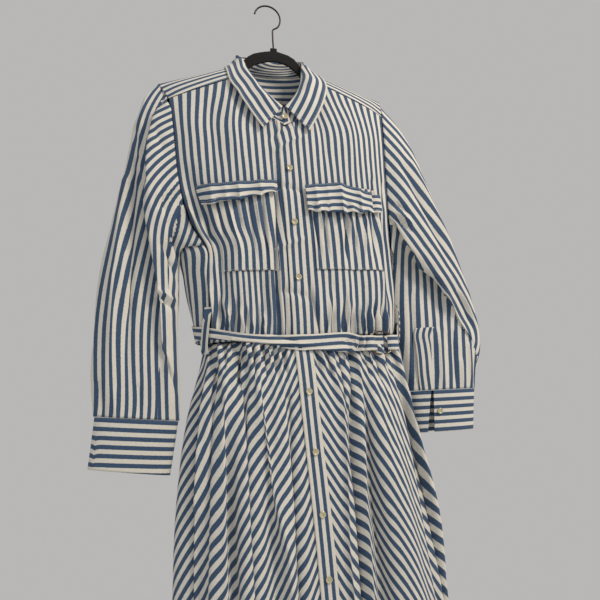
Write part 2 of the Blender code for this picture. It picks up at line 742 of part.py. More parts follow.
def in_neck(row, column):
    return row < shoulder_row and YOKE_SIDE_CELLS <= column < YOKE_COLUMNS - YOKE_SIDE_CELLS


panel = yoke.copy()
for edge in ("first_row", "last_row"):
    pull_in(panel, edge, 2 * SEAM_GAP)
wall("yoke", panel, yoke_normals, COTTON, skip=in_neck)

label_columns = slice(YOKE_COLUMNS // 2 - 1, YOKE_COLUMNS // 2 + 2)
label_rows = slice(YOKE_FRONT_CELLS + 2, YOKE_FRONT_CELLS + 4)
wall("neck_label", yoke[label_rows, label_columns], yoke_normals[label_rows, label_columns],
     LABEL, lift=-LAYER, thickness=0.0010)

# ---------------------------------------------------------------- sleeves and cuffs

# Each station of a sleeve is a flattened tube between its outer and its inner edge.
# "run" goes from the armhole at 0 to the cuff at 1. "fold" is where the front steps from
# the outer part of the sleeve to the inner part, 0 at the outer edge and 1 at the inner.
# Each part of the front stands its own distance before the sleeve's middle, "y".
SLEEVE_COLUMNS = "run  outer_x outer_drop inner_x inner_drop y  front_outer front_inner back fold"
SLEEVE_RIGHT = table(
    SLEEVE_COLUMNS,
    (0.00, -0.1960, 0.1660, -0.1400, 0.4400, 0.000, 0.030, 0.036, 0.026, 0.03),
    (0.08, -0.2270, 0.2080, -0.1740, 0.4370, 0.000, 0.022, 0.038, 0.025, 0.14),
    (0.22, -0.2450, 0.2900, -0.1740, 0.4460, 0.000, 0.018, 0.038, 0.023, 0.32),
    (0.38, -0.2700, 0.3920, -0.1730, 0.4620, 0.002, 0.016, 0.036, 0.022, 0.56),
    (0.55, -0.2940, 0.4900, -0.1750, 0.5120, 0.003, 0.016, 0.033, 0.021, 0.72),
    (0.72, -0.3030, 0.5800, -0.1810, 0.5900, 0.003, 0.016, 0.030, 0.020, 0.79),
    (0.86, -0.3070, 0.6300, -0.1790, 0.6450, 0.003, 0.016, 0.026, 0.018, 0.83),
    (1.00, -0.3050, 0.6870, -0.1820, 0.7030, 0.003, 0.015, 0.017, 0.015, 0.88),
)
SLEEVE_LEFT = table(
    SLEEVE_COLUMNS,
    (0.00, 0.2000, 0.1660, 0.1870, 0.4400, 0.000, 0.030, 0.034, 0.026, 0.90),
    (0.08, 0.2370, 0.2200, 0.1965, 0.4370, 0.000, 0.037, 0.030, 0.025, 0.88),
    (0.20, 0.2620, 0.2850, 0.1970, 0.4440, 0.002, 0.038, 0.022, 0.023, 0.84),
    (0.33, 0.2870, 0.3520, 0.1975, 0.4620, 0.004, 0.038, 0.015, 0.021, 0.77),
    (0.47, 0.3170, 0.4280, 0.1980, 0.4900, 0.008, 0.038, 0.012, 0.019, 0.62),
    (0.62, 0.3460, 0.5140, 0.1980, 0.5300, 0.011, 0.034, 0.013, 0.018, 0.36),
    (0.69, 0.3580, 0.5530, 0.1990, 0.5560, 0.013, 0.020, 0.016, 0.018, 0.36),
    (0.74, 0.3640, 0.5800, 0.2000, 0.5800, 0.014, 0.018, 0.018, 0.018, 0.55),
    (0.85, 0.3620, 0.6170, 0.2060, 0.6200, 0.015, 0.018, 0.018, 0.017, 0.58),
    (0.94, 0.3500, 0.6530, 0.2100, 0.6530, 0.015, 0.018, 0.018, 0.016, 0.61),
    (1.00, 0.3430, 0.6880, 0.2140, 0.6850, 0.015, 0.016, 0.016, 0.014, 0.63),
)
CUFF_RIGHT = table(
    SLEEVE_COLUMNS,
    (0.0, -0.3060, 0.6875, -0.1820, 0.7035, 0.003, 0.0165, 0.0165, 0.016, 0.5),
    (1.0, -0.3170, 0.7600, -0.1970, 0.7810, 0.003, 0.0140, 0.0140, 0.014, 0.5),
)
CUFF_LEFT = table(
    SLEEVE_COLUMNS,
    (0.0, 0.3430, 0.6885, 0.2140, 0.6855, 0.015, 0.0170, 0.0170, 0.015, 0.5),
    (1.0, 0.3320, 0.7580, 0.2200, 0.7560, 0.015, 0.0150, 0.0150, 0.013, 0.5),
)
# Cells round the front of each sleeve: its outer part, the fold's step, its inner part.
SLEEVE_FOLD_CELLS = {-1: (5, 1, 8), 1: (8, 1, 5)}
SLEEVE_FRONT_CELLS = 14
SLEEVE_BACK_CELLS = 10
FOLD_STEP = 0.035        # the step's width as a share of the way round the front
LAST_FOLD = 0.98         # the step ends this far round at the latest
LEAN_FADE = 1.5          # exponent with which the rings stop leaning to the armhole
SLEEVE_RUNS = {
    -1: np.array([0, 0.06, 0.13, 0.20, 0.27, 0.34, 0.41, 0.49, 0.57, 0.65, 0.72, 0.79, 0.86,
                  0.93, 1.0]),
    1: np.array([0, 0.06, 0.13, 0.20, 0.27, 0.34, 0.41, 0.49, 0.57, 0.65, 0.71, 0.765, 0.82,
                 0.88, 0.94, 1.0]),
}
ARMHOLE_TWIST = {-1: 0.16, 1: 0.02}
TWIST_RUN = 0.40
ARMHOLE_FADE = 0.20
UNDERARM_FADE = 0.42
UNDERARM_COLUMNS = 3.0
UNDERARM_HURRY = 0.21
HURRY_END = 0.50
ARMHOLE_GAP = 0.0014
# Under the arm the sleeve turns down over the body, so there it starts one layer outside.
UNDERARM_STEP = 0.0021
UNDERARM_STEP_DROP = 0.370
UNDERARM_STEP_REACH = 0.050
TUBE_ROUNDNESS = 2.3


def tube_station(form, run):
    """Front and back edges of a sleeve's tube as two polylines, outer edge to inner."""
    get = {name: float(read(form, name, run, "run")) for name in form if name != "run"}
    share = (1 - np.cos(np.linspace(0, np.pi, 121))) / 2
    bulge = (1 - np.abs(2 * share - 1) ** TUBE_ROUNDNESS) ** (1 / TUBE_ROUNDNESS)
    step = ease((share - get["fold"]) / FOLD_STEP + 0.5)
    front = get["front_outer"] * (1 - step) + get["front_inner"] * step
    x = get["outer_x"] + (get["inner_x"] - get["outer_x"]) * share
    z = -(get["outer_drop"] + (get["inner_drop"] - get["outer_drop"]) * share)
    front_line = np.stack([x, get["y"] - front * bulge, z], 1)
    back_line = np.stack([x, get["y"] + get["back"] * bulge, z], 1)
    return front_line, back_line


def spread(line, shares):
    """Points at shares of a polyline's length."""
    lengths = np.linalg.norm(np.diff(line, axis=0), axis=1)
    along = np.concatenate([[0], np.cumsum(lengths)])
    wanted = np.asarray(shares) * along[-1]
    return np.stack([np.interp(wanted, along, line[:, i]) for i in range(3)], 1)


def ring_shares(form, run, twist=0.0):
    """Where a ring's columns stand. 0 to 1 is the front, from the outer edge to the inner,
    1 to 2 is the back on its way home. Two columns follow the fold, and a twist puts the
    first ones round the outer edge, on the back."""
    fold = float(read(form, "fold", run, "run"))
    outer_cells, step_cells, inner_cells = SLEEVE_FOLD_CELLS[np.sign(form["outer_x"][0])]
    before = fold - FOLD_STEP / 2
    after = min(fold + FOLD_STEP / 2, LAST_FOLD)
    return np.concatenate([
        np.linspace(-twist, before, outer_cells + 1),
        np.linspace(before, after, step_cells + 1)[1:],
        np.linspace(after, 1, inner_cells + 1)[1:],
        1 + (1 - twist) * np.linspace(0, 1, SLEEVE_BACK_CELLS + 1)[1:-1],
    ])


def around(front_line, back_line, shares):
    """Points at a ring's shares, on two lines that run from the outer edge to the inner."""
    ring = []
    for share in shares:
        if share < 0:
            ring.append(spread(back_line, [-share])[0])
        elif share <= 1:
            ring.append(spread(front_line, [share])[0])
        else:
            ring.append(spread(back_line, [2 - share])[0])
    return np.array(ring)


def tube_ring(form, run, twist=0.0):
    """One ring of a tube."""
    return around(*tube_station(form, run), ring_shares(form, run, twist))


def outward_at(drop, turn):
    """The body's outward direction at a turn, level."""
    x0, y0 = oval(drop, turn - TURN_STEP)
    x1, y1 = oval(drop, turn + TURN_STEP)
    size = np.hypot(x1 - x0, y1 - y0)
    return np.array([(y1 - y0) / size, -(x1 - x0) / size, 0.0])


def on_body(drop, turn, lift):
    """A point of the body's plain oval, lifted off it."""
    x, y = oval(drop, turn)
    return np.array([x, y, -drop]) + outward_at(drop, turn) * lift


def armhole_ring(side, form):
    """The armhole's loop in the order of a sleeve's ring."""
    front_line = []
    back_line = []
    for drop in np.linspace(SHOULDER_TIP_DROP, UNDERARM_DROP, 80):
        lift = UNDERARM_STEP * ease((drop - UNDERARM_STEP_DROP) / UNDERARM_STEP_REACH)
        front_line.append(on_body(drop, front_edge_turn(side, drop), lift))
        back_line.append(on_body(drop, back_edge_turn(side, drop), lift))
    shares = ring_shares(form, 0, ARMHOLE_TWIST[side])
    return around(np.array(front_line), np.array(back_line), shares)


def sleeve_grid(side):
    """A sleeve's rings: each is its tube, and the first ones lean over to the armhole. The
    lean lasts longest under the arm, where the armhole lies well to the front. The rings
    hurry down there, so that the cloth between them turns under in one soft bend."""
    form = SLEEVE_RIGHT if side < 0 else SLEEVE_LEFT
    lean = armhole_ring(side, form) - tube_ring(form, 0, ARMHOLE_TWIST[side])
    from_underarm = np.abs(np.arange(len(lean)) - SLEEVE_FRONT_CELLS)
    near = np.exp(-(from_underarm / UNDERARM_COLUMNS) ** 2)
    runs = SLEEVE_RUNS[side]
    rings = []
    for run in runs:
        hurry = UNDERARM_HURRY * min(run / runs[1], 1) * max(1 - run / HURRY_END, 0)
        ring = []
        for column in range(len(lean)):
            down = run + hurry * near[column]
            twist = ARMHOLE_TWIST[side] * (1 - ease(down / TWIST_RUN))
            reach = ARMHOLE_FADE + UNDERARM_FADE * near[column]
            left_over = max(1 - down / reach, 0) ** LEAN_FADE
            ring.append(tube_ring(form, down, twist)[column] + lean[column] * left_over)
        rings.append(ring)
    return np.array(rings)


def face_off_crease(grid, facing, column):
    """Along a sharp crease its cells face opposite ways and cancel, so there the normal
    points straight away from the two sides of the crease."""
    crease = grid[:, column]
    out = crease - (grid[:, column - 1] + grid[:, column + 1]) / 2
    along = np.gradient(crease, axis=0)
    along /= np.linalg.norm(along, axis=1, keepdims=True)
    out -= along * np.sum(out * along, axis=1, keepdims=True)
    facing[:, column] = out / np.linalg.norm(out, axis=1, keepdims=True)


sleeves = {}
for side, name in SIDE_NAMES.items():
    grid = sleeve_grid(side)
    facing = surface_normals(grid, closed=True) * -side
    face_off_crease(grid, facing, SLEEVE_FRONT_CELLS)
    sleeves[side] = (grid, facing)
    panel = grid.copy()
    pull_in(panel, "first_row", ARMHOLE_GAP)
    pull_in(panel, "last_row")
    wall(f"sleeve_{name}", panel, facing, COTTON, closed=True)

CUFF_RUNS = np.linspace(0, 1, 4)
grid = np.array([tube_ring(CUFF_RIGHT, run) for run in CUFF_RUNS])
cuff_right = (grid, surface_normals(grid, closed=True))
wall("cuff_right", *cuff_right, COTTON, closed=True)

# The left cuff is unbuttoned: a band that is open at the sleeve's placket.
CUFF_OPENING = table(
    "run  outer_side inner_side",
    (0.0, 0.690, 0.720),
    (1.0, 0.735, 0.830),
)
CUFF_OUTER_CELLS = 9     # cells from the opening to the outer edge
CUFF_INNER_CELLS = 4     # cells from the inner edge to the opening
rings = []
for run in CUFF_RUNS:
    front_line, back_line = tube_station(CUFF_LEFT, run)
    outer_end = float(read(CUFF_OPENING, "outer_side", run, "run"))
    inner_end = float(read(CUFF_OPENING, "inner_side", run, "run"))
    rings.append(np.concatenate([
        spread(front_line, np.linspace(outer_end, 0, CUFF_OUTER_CELLS + 1)),
        spread(back_line, np.linspace(0, 1, SLEEVE_BACK_CELLS + 1))[1:],
        spread(front_line, np.linspace(1, inner_end, CUFF_INNER_CELLS + 1))[1:],
    ]))
grid = np.array(rings)
cuff_left = (grid, surface_normals(grid))
wall("cuff_left", *cuff_left, COTTON)

# Where a sleeve's placket lies on its sleeve, and how far up its top cell it starts.
SLEEVE_PLACKET = {1: (slice(-6, None), slice(10, 13)), -1: (slice(-5, None), slice(20, 23))}
PLACKET_TOP_SHARE = {1: 0.5, -1: 1.0}
for side, name in SIDE_NAMES.items():
    rows, columns = SLEEVE_PLACKET[side]
    panel, facing = (values[rows, columns].copy() for values in sleeves[side])
    for values in (panel, facing):
        values[0] = values[1] + (values[0] - values[1]) * PLACKET_TOP_SHARE[side]
    facing[0] /= np.linalg.norm(facing[0], axis=1, keepdims=True)
    pull_in(panel, "last_row")
    wall(f"sleeve_placket_{name}", panel, facing, COTTON, lift=LAYER)

# ---------------------------------------------------------------- collar

# Where the collar's columns stand, from one end at the front to the centre back. They are
# closest over the ridge of the shoulder, where the collar bends most.
COLLAR_ANGLES = np.array([3, 13, 23, 33, 43, 53, 62, 70, 76, 82, 88, 94, 100, 108, 118, 130,
                          145, 162, 180.0])
STAND_SEAM = 0.0018      # the stand begins this far above the neck hole's edge
LEAF_SEAM = 0.0013       # the leaf's middle lies this far above the fold's edge
LEAF_ROLL = 0.0034
# The stand's right end crosses the centre front, and its left end sinks one layer to lie
# under it. All three in degrees.
STAND_OVERLAP_ANGLES = (9.0, 4.0, 0.0)
STAND_SINK_ANGLE = 42.0
STAND_SINK_REACH = 24.0
LEAF_CLEAR = 0.0034      # the leaf's middle above the cloth that it lies on
EDGE_STEP = 3.0          # a collar edge's direction is read this many degrees either side
FACE_RISE = 0.8          # how much the collar's outer face looks up as it looks out
# Angles from the centre front: up to here the leaf lies on the front, up to here there are
# two layers under it, and between these two its lower part clears the stand by itself.
LEAF_ON_FRONT = 94.0
LEAF_ON_OVERLAP = 40.0
LEAF_OFF_STAND = (60.0, 98.0)
LEAF_LOWER_SHARE = 0.3
# The leaf's rows from fold to rim: the share of the way, and its roll in LEAF_ROLLs.
LEAF_START_ROLL = 0.8
LEAF_ROWS = ((0.16, 1.3), (0.55, 1.3), (1.0, 1.0))


def round_the_neck(form, angle):
    """A point of one of the collar's lines, at an angle from the centre front."""
    side = -1 if angle < 0 else 1
    values = [float(read(form, name, abs(angle), "angle")) for name in ("x", "y", "drop")]
    return np.array([side * values[0], values[1], -values[2]])


def band_directions(edge, other, angle):
    """Two directions at one edge of the stand: across the band, square to the edge, and
    away from the band's outer face."""
    side = -1 if angle < 0 else 1
    behind = round_the_neck(edge, side * min(abs(angle) + EDGE_STEP, 180))
    ahead = round_the_neck(edge, side * max(abs(angle) - EDGE_STEP, 0.01))
    tangent = (behind - ahead) / np.linalg.norm(behind - ahead)
    across = round_the_neck(other, angle) - round_the_neck(edge, angle)
    across = across - tangent * (across @ tangent)
    across = across / np.linalg.norm(across)
    away = np.cross(tangent, across)
    turn = np.radians(angle)
    if away @ (np.sin(turn), -np.cos(turn), FACE_RISE) < 0:
        away = -away
    return across, away


def leaf_point(angle, share, roll):
    """A point of the leaf between its fold, 0, and its rim, 1, clear of stand and body."""
    fold = round_the_neck(FOLD_EDGE, angle)
    rim = round_the_neck(LEAF_RIM, angle)
    _, away = band_directions(FOLD_EDGE, NECK, angle)
    point = fold + (rim - fold) * share
    past_stand = LEAF_OFF_STAND[0] < abs(angle) < LEAF_OFF_STAND[1]
    if share <= LEAF_LOWER_SHARE or not past_stand:
        point = point + away * max(roll - (point - fold) @ away, 0)
    ridge = float(read(SHOULDER, "ridge", abs(point[0]), "x"))
    drop = max(-point[2], ridge)
    if abs(angle) < LEAF_ON_FRONT:
        clear = LEAF_CLEAR + LAYER * (abs(angle) < LEAF_ON_OVERLAP)
        point[1] = min(point[1], float(front_surface(point[0], drop)) - clear)
    else:
        point[1] = max(point[1], float(back_surface(point[0], drop)) + LEAF_CLEAR)
    return point


# From the wearer's right front round the back to the left front.
leaf_angles = np.concatenate([-COLLAR_ANGLES, COLLAR_ANGLES[-2::-1]])
angles = np.concatenate([STAND_OVERLAP_ANGLES, leaf_angles])
stand = []
for angle in angles:
    upward, _ = band_directions(NECK, FOLD_EDGE, angle)
    low = round_the_neck(NECK, angle) + upward * STAND_SEAM
    high = round_the_neck(FOLD_EDGE, angle)
    stand.append([high, (high + low) / 2, low])
stand = np.array(stand).transpose(1, 0, 2)
stand_normals = -surface_normals(stand)
sink = LAYER * ease((STAND_SINK_ANGLE - angles) / STAND_SINK_REACH)
sink[:len(STAND_OVERLAP_ANGLES) + len(COLLAR_ANGLES)] = 0
stand -= stand_normals * sink[None, :, None]
wall("collar_stand", stand, stand_normals, COTTON)

leaf = []
for angle in leaf_angles:
    downward, away = band_directions(FOLD_EDGE, NECK, angle)
    start = round_the_neck(FOLD_EDGE, angle) - downward * LEAF_SEAM
    over = start + away * LEAF_ROLL * LEAF_START_ROLL
    leaf.append([start, over] + [leaf_point(angle, share, LEAF_ROLL * roll)
                                 for share, roll in LEAF_ROWS])
leaf = np.array(leaf).transpose(1, 0, 2)
leaf_normals = -surface_normals(leaf)
wall("collar_leaf", leaf, leaf_normals, COTTON)

# ---------------------------------------------------------------- belt, its rings and loops

BELT_LIFT = 0.0052       # middle of the belt's cloth above the body's plain oval
BELT_PINCH = 0.024       # width where the belt is drawn together at the rings
RING_X = 0.135
RING_DROP = 0.6035
RING_HALF_WIDTH = 0.0238
RING_HALF_HEIGHT = 0.0185
RING_ROUNDNESS = 2.5
RING_WIRE = 0.0024
RING_POINTS = 22
RING_LIFT = 0.0066       # middle of the inner ring's wire above the body's oval
RING_STACK = 0.0029      # from one ring to the next

# The belt's middle line, by degrees round from the centre front towards +X.
BELT = table(
    "degrees  drop    width",
    (50.0,    0.6035, 0.0260),
    (65.0,    0.5950, 0.0280),
    (78.0,    0.5810, 0.0280),
    (110.0,   0.5780, 0.0330),
    (180.0,   0.5760, 0.0330),
    (250.0,   0.5730, 0.0330),
    (285.0,   0.5735, 0.0200),
    (330.0,   0.5870, 0.0140),
    (360.0,   0.5985, 0.0260),
    (378.0,   0.6010, 0.0330),
    (392.0,   0.6030, 0.0280),
)
BELT_CELLS = 44
BELT_END_RUN = 0.030     # the belt's last stretch, at each end, follows the tables below
# How the two ends meet at the rings: "along" the rings' long way and "out" from their
# middle. One end comes round the outer bar, the other passes over the inner bar and
# lies inside the rings.
BELT_SIDE_END = table(
    "along    out",
    (0.0150,  0.0012),
    (0.0185,  0.0048),
    (0.0245,  0.0054),
    (0.0310,  0.0040),
    (0.0400, -0.0010),
)
BELT_FRONT_END = table(
    "along    out",
    (-0.0410, -0.0010),
    (-0.0310,  0.0040),
    (-0.0240,  0.0054),
    (-0.0165,  0.0050),
    (-0.0090, -0.0018),
    (-0.0010, -0.0026),
    (0.0090,  -0.0026),
)


RING_TURN = float(turn_at(RING_DROP, RING_X))
RING_OUT = outward_at(RING_DROP, RING_TURN)
RING_ALONG = np.array([-RING_OUT[1], RING_OUT[0], 0.0])
RING_CENTRE = on_body(RING_DROP, RING_TURN, RING_LIFT)


def belt_end(form):
    """Columns of three points where the belt passes the rings."""
    columns = []
    for along, out in zip(form["along"], form["out"]):
        middle = RING_CENTRE + RING_ALONG * along + RING_OUT * out
        half = np.array([0, 0, BELT_PINCH / 2])
        columns.append([middle + half, middle, middle - half])
    return columns


start = np.radians(BELT["degrees"][0])
end = np.radians(BELT["degrees"][-1])
turns = np.linspace(start, end, 400)
x, y = oval(WAIST_DROP, turns)
lengths = np.concatenate([[0], np.cumsum(np.hypot(np.diff(x), np.diff(y)))])
belt = belt_end(BELT_SIDE_END)
for length in np.linspace(BELT_END_RUN, lengths[-1] - BELT_END_RUN, BELT_CELLS + 1):
    turn = np.interp(length, lengths, turns)
    middle = float(read(BELT, "drop", np.degrees(turn), "degrees"))
    half = float(read(BELT, "width", np.degrees(turn), "degrees")) / 2
    belt.append([on_body(drop, turn, BELT_LIFT) for drop in (middle - half, middle,
                                                             middle + half)])
belt += belt_end(BELT_FRONT_END)
belt = np.array(belt).transpose(1, 0, 2)
belt_normals = surface_normals(belt)
wall("belt", belt, belt_normals, COTTON)


def tube(name, points, wire, finish, closed):
    """A wire along its points, as a curve with a round bevel."""
    curve = bpy.data.curves.new(name, "CURVE")
    curve.dimensions = "3D"
    curve.bevel_depth = wire / 2
    curve.bevel_resolution = 2
    curve.use_fill_caps = not closed
    spline = curve.splines.new("POLY")
    spline.points.add(len(points) - 1)
    for point, place in zip(spline.points, points):
        point.co = (*place, 1)
    spline.use_cyclic_u = closed
    curve.materials.append(finish)
    made = bpy.data.objects.new(name, curve)
    DRESS.objects.link(made)
    return made


for order, name in enumerate(("inner", "outer")):
    ring = []
    for turn in np.linspace(0, 2 * np.pi, RING_POINTS, endpoint=False):
        power = 2 / RING_ROUNDNESS
        along = np.sign(np.cos(turn)) * abs(np.cos(turn)) ** power * RING_HALF_WIDTH
        up = np.sign(np.sin(turn)) * abs(np.sin(turn)) ** power * RING_HALF_HEIGHT
        ring.append(RING_CENTRE + RING_OUT * RING_STACK * order + RING_ALONG * along
                    + np.array([0, 0, up]))
    tube(f"belt_ring_{name}", ring, RING_WIRE, RING_METAL, True)

# A belt loop stands off the side seam far enough for the belt to pass beneath.
LOOP_HALF_WIDTH = 0.006
BELT_LOOP = table(
    "drop    lift",
    (0.536,  0.0020),
    (0.545,  0.0044),
    (0.554,  0.0079),
    (0.575,  0.0082),
    (0.599,  0.0079),
    (0.603,  0.0044),
    (0.606,  0.0030),
)
for side, name in SIDE_NAMES.items():
    loop = []
    for drop, lift in zip(BELT_LOOP["drop"], BELT_LOOP["lift"]):
        seam = front_edge_turn(side, drop)
        out = outward_at(drop, seam)
        along = np.array([-out[1], out[0], 0.0])
        middle = on_body(drop, seam, lift)
        loop.append([middle - along * LOOP_HALF_WIDTH, middle,
                     middle + along * LOOP_HALF_WIDTH])
    loop = np.array(loop)
    wall(f"belt_loop_{name}", loop, surface_normals(loop), COTTON)

# ---------------------------------------------------------------- buttons

BUTTON_SIDES = 12
BUTTON_ON_CLOTH = WALL / 2 + SEAM_GAP + BUTTON_THICKNESS / 2
BUTTON_SPARE = 0.0003    # a button stands this much higher where the cloth bends under it
CUFF_BUTTON_COLUMN = 21


def add_button(name, place, outward, lift):
    """A button lying on the cloth, its face turned outward. lift is its middle above the
    middle of the cloth's own layer."""
    bm = bmesh.new()
    bmesh.ops.create_cone(bm, cap_ends=True, segments=BUTTON_SIDES, radius1=BUTTON_RADIUS,
                          radius2=BUTTON_RADIUS * 0.9, depth=BUTTON_THICKNESS)
    mesh = bpy.data.meshes.new(name)
    bm.to_mesh(mesh)
    bm.free()
    made = add_object(name, mesh, SHELL)
    made.rotation_euler = Vector(outward).to_track_quat("Z", "Y").to_euler()
    made.location = place + outward * lift


def along_column(points, facing, column, drop):
    """A place and its outward direction on one column of a grid, at a drop."""
    drops = -points[:, column, 2]
    place = np.array([np.interp(drop, drops, points[:, column, i]) for i in range(3)])
    outward = np.array([np.interp(drop, drops, facing[:, column, i]) for i in range(3)])
    return place, outward / np.linalg.norm(outward)


button_number = 1
# The collar's button lies on the stand's end that crosses the centre front.
centre = STAND_OVERLAP_ANGLES.index(0.0)
place, outward = along_column(stand, stand_normals, centre, COLLAR_BUTTON_DROP)
add_button(f"button_{button_number:02d}", place, outward, BUTTON_ON_CLOTH + BUTTON_SPARE)
drop = COLLAR_BUTTON_DROP
while drop + BUTTON_SPACING < HEM_DROP - BUTTON_SPACING:
    drop += BUTTON_SPACING
    if abs(drop - WAIST_DROP) < BUTTON_SPACING / 4:
        # No button sits under the belt.
        continue
    grid, facing = bodice_placket if drop < WAIST_DROP else skirt_placket
    button_number += 1
    place, outward = along_column(grid, facing, 1, drop)
    add_button(f"button_{button_number:02d}", place, outward, BUTTON_ON_CLOTH + LAYER)

# Each cuff has one at half its depth: the right is fastened behind, the left is open.
for name, (grid, facing), column in (("right", cuff_right, CUFF_BUTTON_COLUMN),
                                     ("left", cuff_left, 1)):
    place = grid[1:3, column].mean(0)
    outward = facing[1:3, column].mean(0)
    add_button(f"button_cuff_{name}", place, outward / np.linalg.norm(outward),
               BUTTON_ON_CLOTH + BUTTON_SPARE)

# ---------------------------------------------------------------- hanger

HANGER = table(
    "x        top     low",
    (-0.1860, 0.1645, 0.1765),
    (-0.1600, 0.1556, 0.1710),
    (-0.1200, 0.1426, 0.1600),
    (-0.0850, 0.1308, 0.1480),
    (-0.0640, 0.1268, 0.1400),
    (-0.0550, 0.1150, 0.1320),
    (-0.0450, 0.1020, 0.1240),
    (-0.0250, 0.0905, 0.1100),
    (0.0060,  0.0850, 0.1025),
    (0.0350,  0.0910, 0.1100),
    (0.0480,  0.1020, 0.1240),
    (0.0560,  0.1150, 0.1320),
    (0.0640,  0.1268, 0.1400),
    (0.0850,  0.1308, 0.1480),
    (0.1200,  0.1426, 0.1600),
    (0.1600,  0.1556, 0.1710),
    (0.1880,  0.1650, 0.1770),
)
HANGER_CELLS = 36
BOSS_HALF_WIDTH = 0.0055
BOSS_TOP_DROP = 0.0790
BOSS_FOOT_DROP = 0.0848
BOSS_SPACE = 0.0010      # the arms' points stop this far from the boss
STEM_X = 0.0062

curve = bpy.data.curves.new("hanger", "CURVE")
curve.dimensions = "2D"
curve.fill_mode = "BOTH"
curve.extrude = HANGER_THICKNESS / 2
upper = [(x, -float(read(HANGER, "top", x, "x")))
         for x in np.linspace(HANGER["x"][0], HANGER["x"][-1], HANGER_CELLS + 1)]
boss_left = STEM_X - BOSS_HALF_WIDTH
boss_right = STEM_X + BOSS_HALF_WIDTH
boss = [(boss_left, -BOSS_FOOT_DROP), (boss_left, -BOSS_TOP_DROP),
        (boss_right, -BOSS_TOP_DROP), (boss_right, -BOSS_FOOT_DROP)]
before = [place for place in upper if place[0] < boss_left - BOSS_SPACE]
after = [place for place in upper if place[0] > boss_right + BOSS_SPACE]
lower = [(x, -float(read(HANGER, "low", x, "x")))
         for x in np.linspace(HANGER["x"][-1], HANGER["x"][0], HANGER_CELLS + 1)]
outline = before + boss + after + lower
spline = curve.splines.new("POLY")
spline.points.add(len(outline) - 1)
for point, (x, z) in zip(spline.points, outline):
    point.co = (x, z, 0, 1)
spline.use_cyclic_u = True
curve.materials.append(FLOCK)
hanger = bpy.data.objects.new("hanger", curve)
hanger.rotation_euler = (np.pi / 2, 0, 0)
DRESS.objects.link(hanger)

# The hook: an arc open at the left, then an S down to the stem.
HOOK_CENTRE = (-0.0010, -HOOK_RADIUS)
HOOK_TIP_DEGREES = 168.0
HOOK_END_DEGREES = -35.0
STEM_TOP = (0.0066, -0.0480)
STEM_FOOT = -BOSS_TOP_DROP + SEAM_GAP
S_PULL = 0.028           # how strongly the S leaves the arc and meets the stem
wire_radius = HOOK_RADIUS + HOOK_WIRE / 2
hook = []
for degrees in np.linspace(HOOK_TIP_DEGREES, HOOK_END_DEGREES, 17):
    turn = np.radians(degrees)
    hook.append((HOOK_CENTRE[0] + wire_radius * np.cos(turn), 0.0,
                 HOOK_CENTRE[1] + wire_radius * np.sin(turn)))
leave = np.array(hook[-1])
leave_way = np.array([np.sin(np.radians(HOOK_END_DEGREES)), 0.0,
                      -np.cos(np.radians(HOOK_END_DEGREES))])
arrive = np.array([STEM_TOP[0], 0.0, STEM_TOP[1]])
arrive_way = np.array([0.0, 0.0, -1.0])
for t in np.linspace(0, 1, 8)[1:]:
    rise = t * t * (3 - 2 * t)
    place = leave * (1 - rise) + arrive * rise
    place = place + leave_way * S_PULL * t * (1 - t) ** 2 - arrive_way * S_PULL * t * t * (1 - t)
    hook.append(tuple(place))
hook.append((STEM_X, 0.0, STEM_FOOT))
tube("hanger_hook", hook, HOOK_WIRE, HOOK_METAL, False)
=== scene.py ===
# %% [markdown]
# # A striped shirt dress on its hanger
#
# The imported part gives every panel of the dress as a wall 1.5 mm thick, with its largest
# folds. Real poplin is a third of a millimetre thick and full of small creases. So this
# lesson reads each wall back as rows and columns of points, lays a fine, thin sheet on
# them, presses in the listed creases and weaves the stripes along the cloth's own width
# and length.

# %% Load the imported part
import math

import bmesh
import bpy
import numpy as np
from mathutils import Matrix, Vector


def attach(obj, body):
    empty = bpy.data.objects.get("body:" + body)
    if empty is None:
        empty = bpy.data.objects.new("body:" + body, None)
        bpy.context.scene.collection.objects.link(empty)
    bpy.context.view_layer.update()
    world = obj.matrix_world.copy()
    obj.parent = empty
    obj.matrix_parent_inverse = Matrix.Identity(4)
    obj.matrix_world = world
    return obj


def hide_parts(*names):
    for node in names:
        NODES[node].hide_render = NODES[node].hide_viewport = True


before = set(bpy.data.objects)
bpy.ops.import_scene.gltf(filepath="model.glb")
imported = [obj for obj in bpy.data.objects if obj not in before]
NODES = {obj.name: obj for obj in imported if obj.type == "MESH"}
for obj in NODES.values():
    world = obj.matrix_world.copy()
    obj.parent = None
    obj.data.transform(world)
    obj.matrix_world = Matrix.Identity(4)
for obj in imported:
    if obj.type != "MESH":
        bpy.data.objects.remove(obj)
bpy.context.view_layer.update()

# %% Sizes that the whole dress shares, in metres
CAD_WALL = 0.0015
MERGE = 1e-6
CLOTH = 0.0005
DOUBLE_CLOTH = 0.0010
STRIPE_REPEAT = 0.0112
PLACKET_HALF = 0.0138
WAIST = -0.590
BODY_AXIS = (0.012, -0.012)     # the upright line that the dress hangs round

# %% [markdown]
# ## Nodes of a material
#
# A shader is a small graph. One helper adds a node, gives it its settings and joins its
# inputs, so that each material below reads as a short list of steps. Colours are written
# as sRGB hex values, the way a colour picker shows them, and turned to linear light once.

# %% Helpers for materials


def linear(code):
    """A hex colour as linear red, green, blue and alpha."""
    made = []
    for start in (0, 2, 4):
        value = int(code[start:start + 2], 16) / 255
        made.append(value / 12.92 if value <= 0.04045 else ((value + 0.055) / 1.055) ** 2.4)
    return (*made, 1.0)


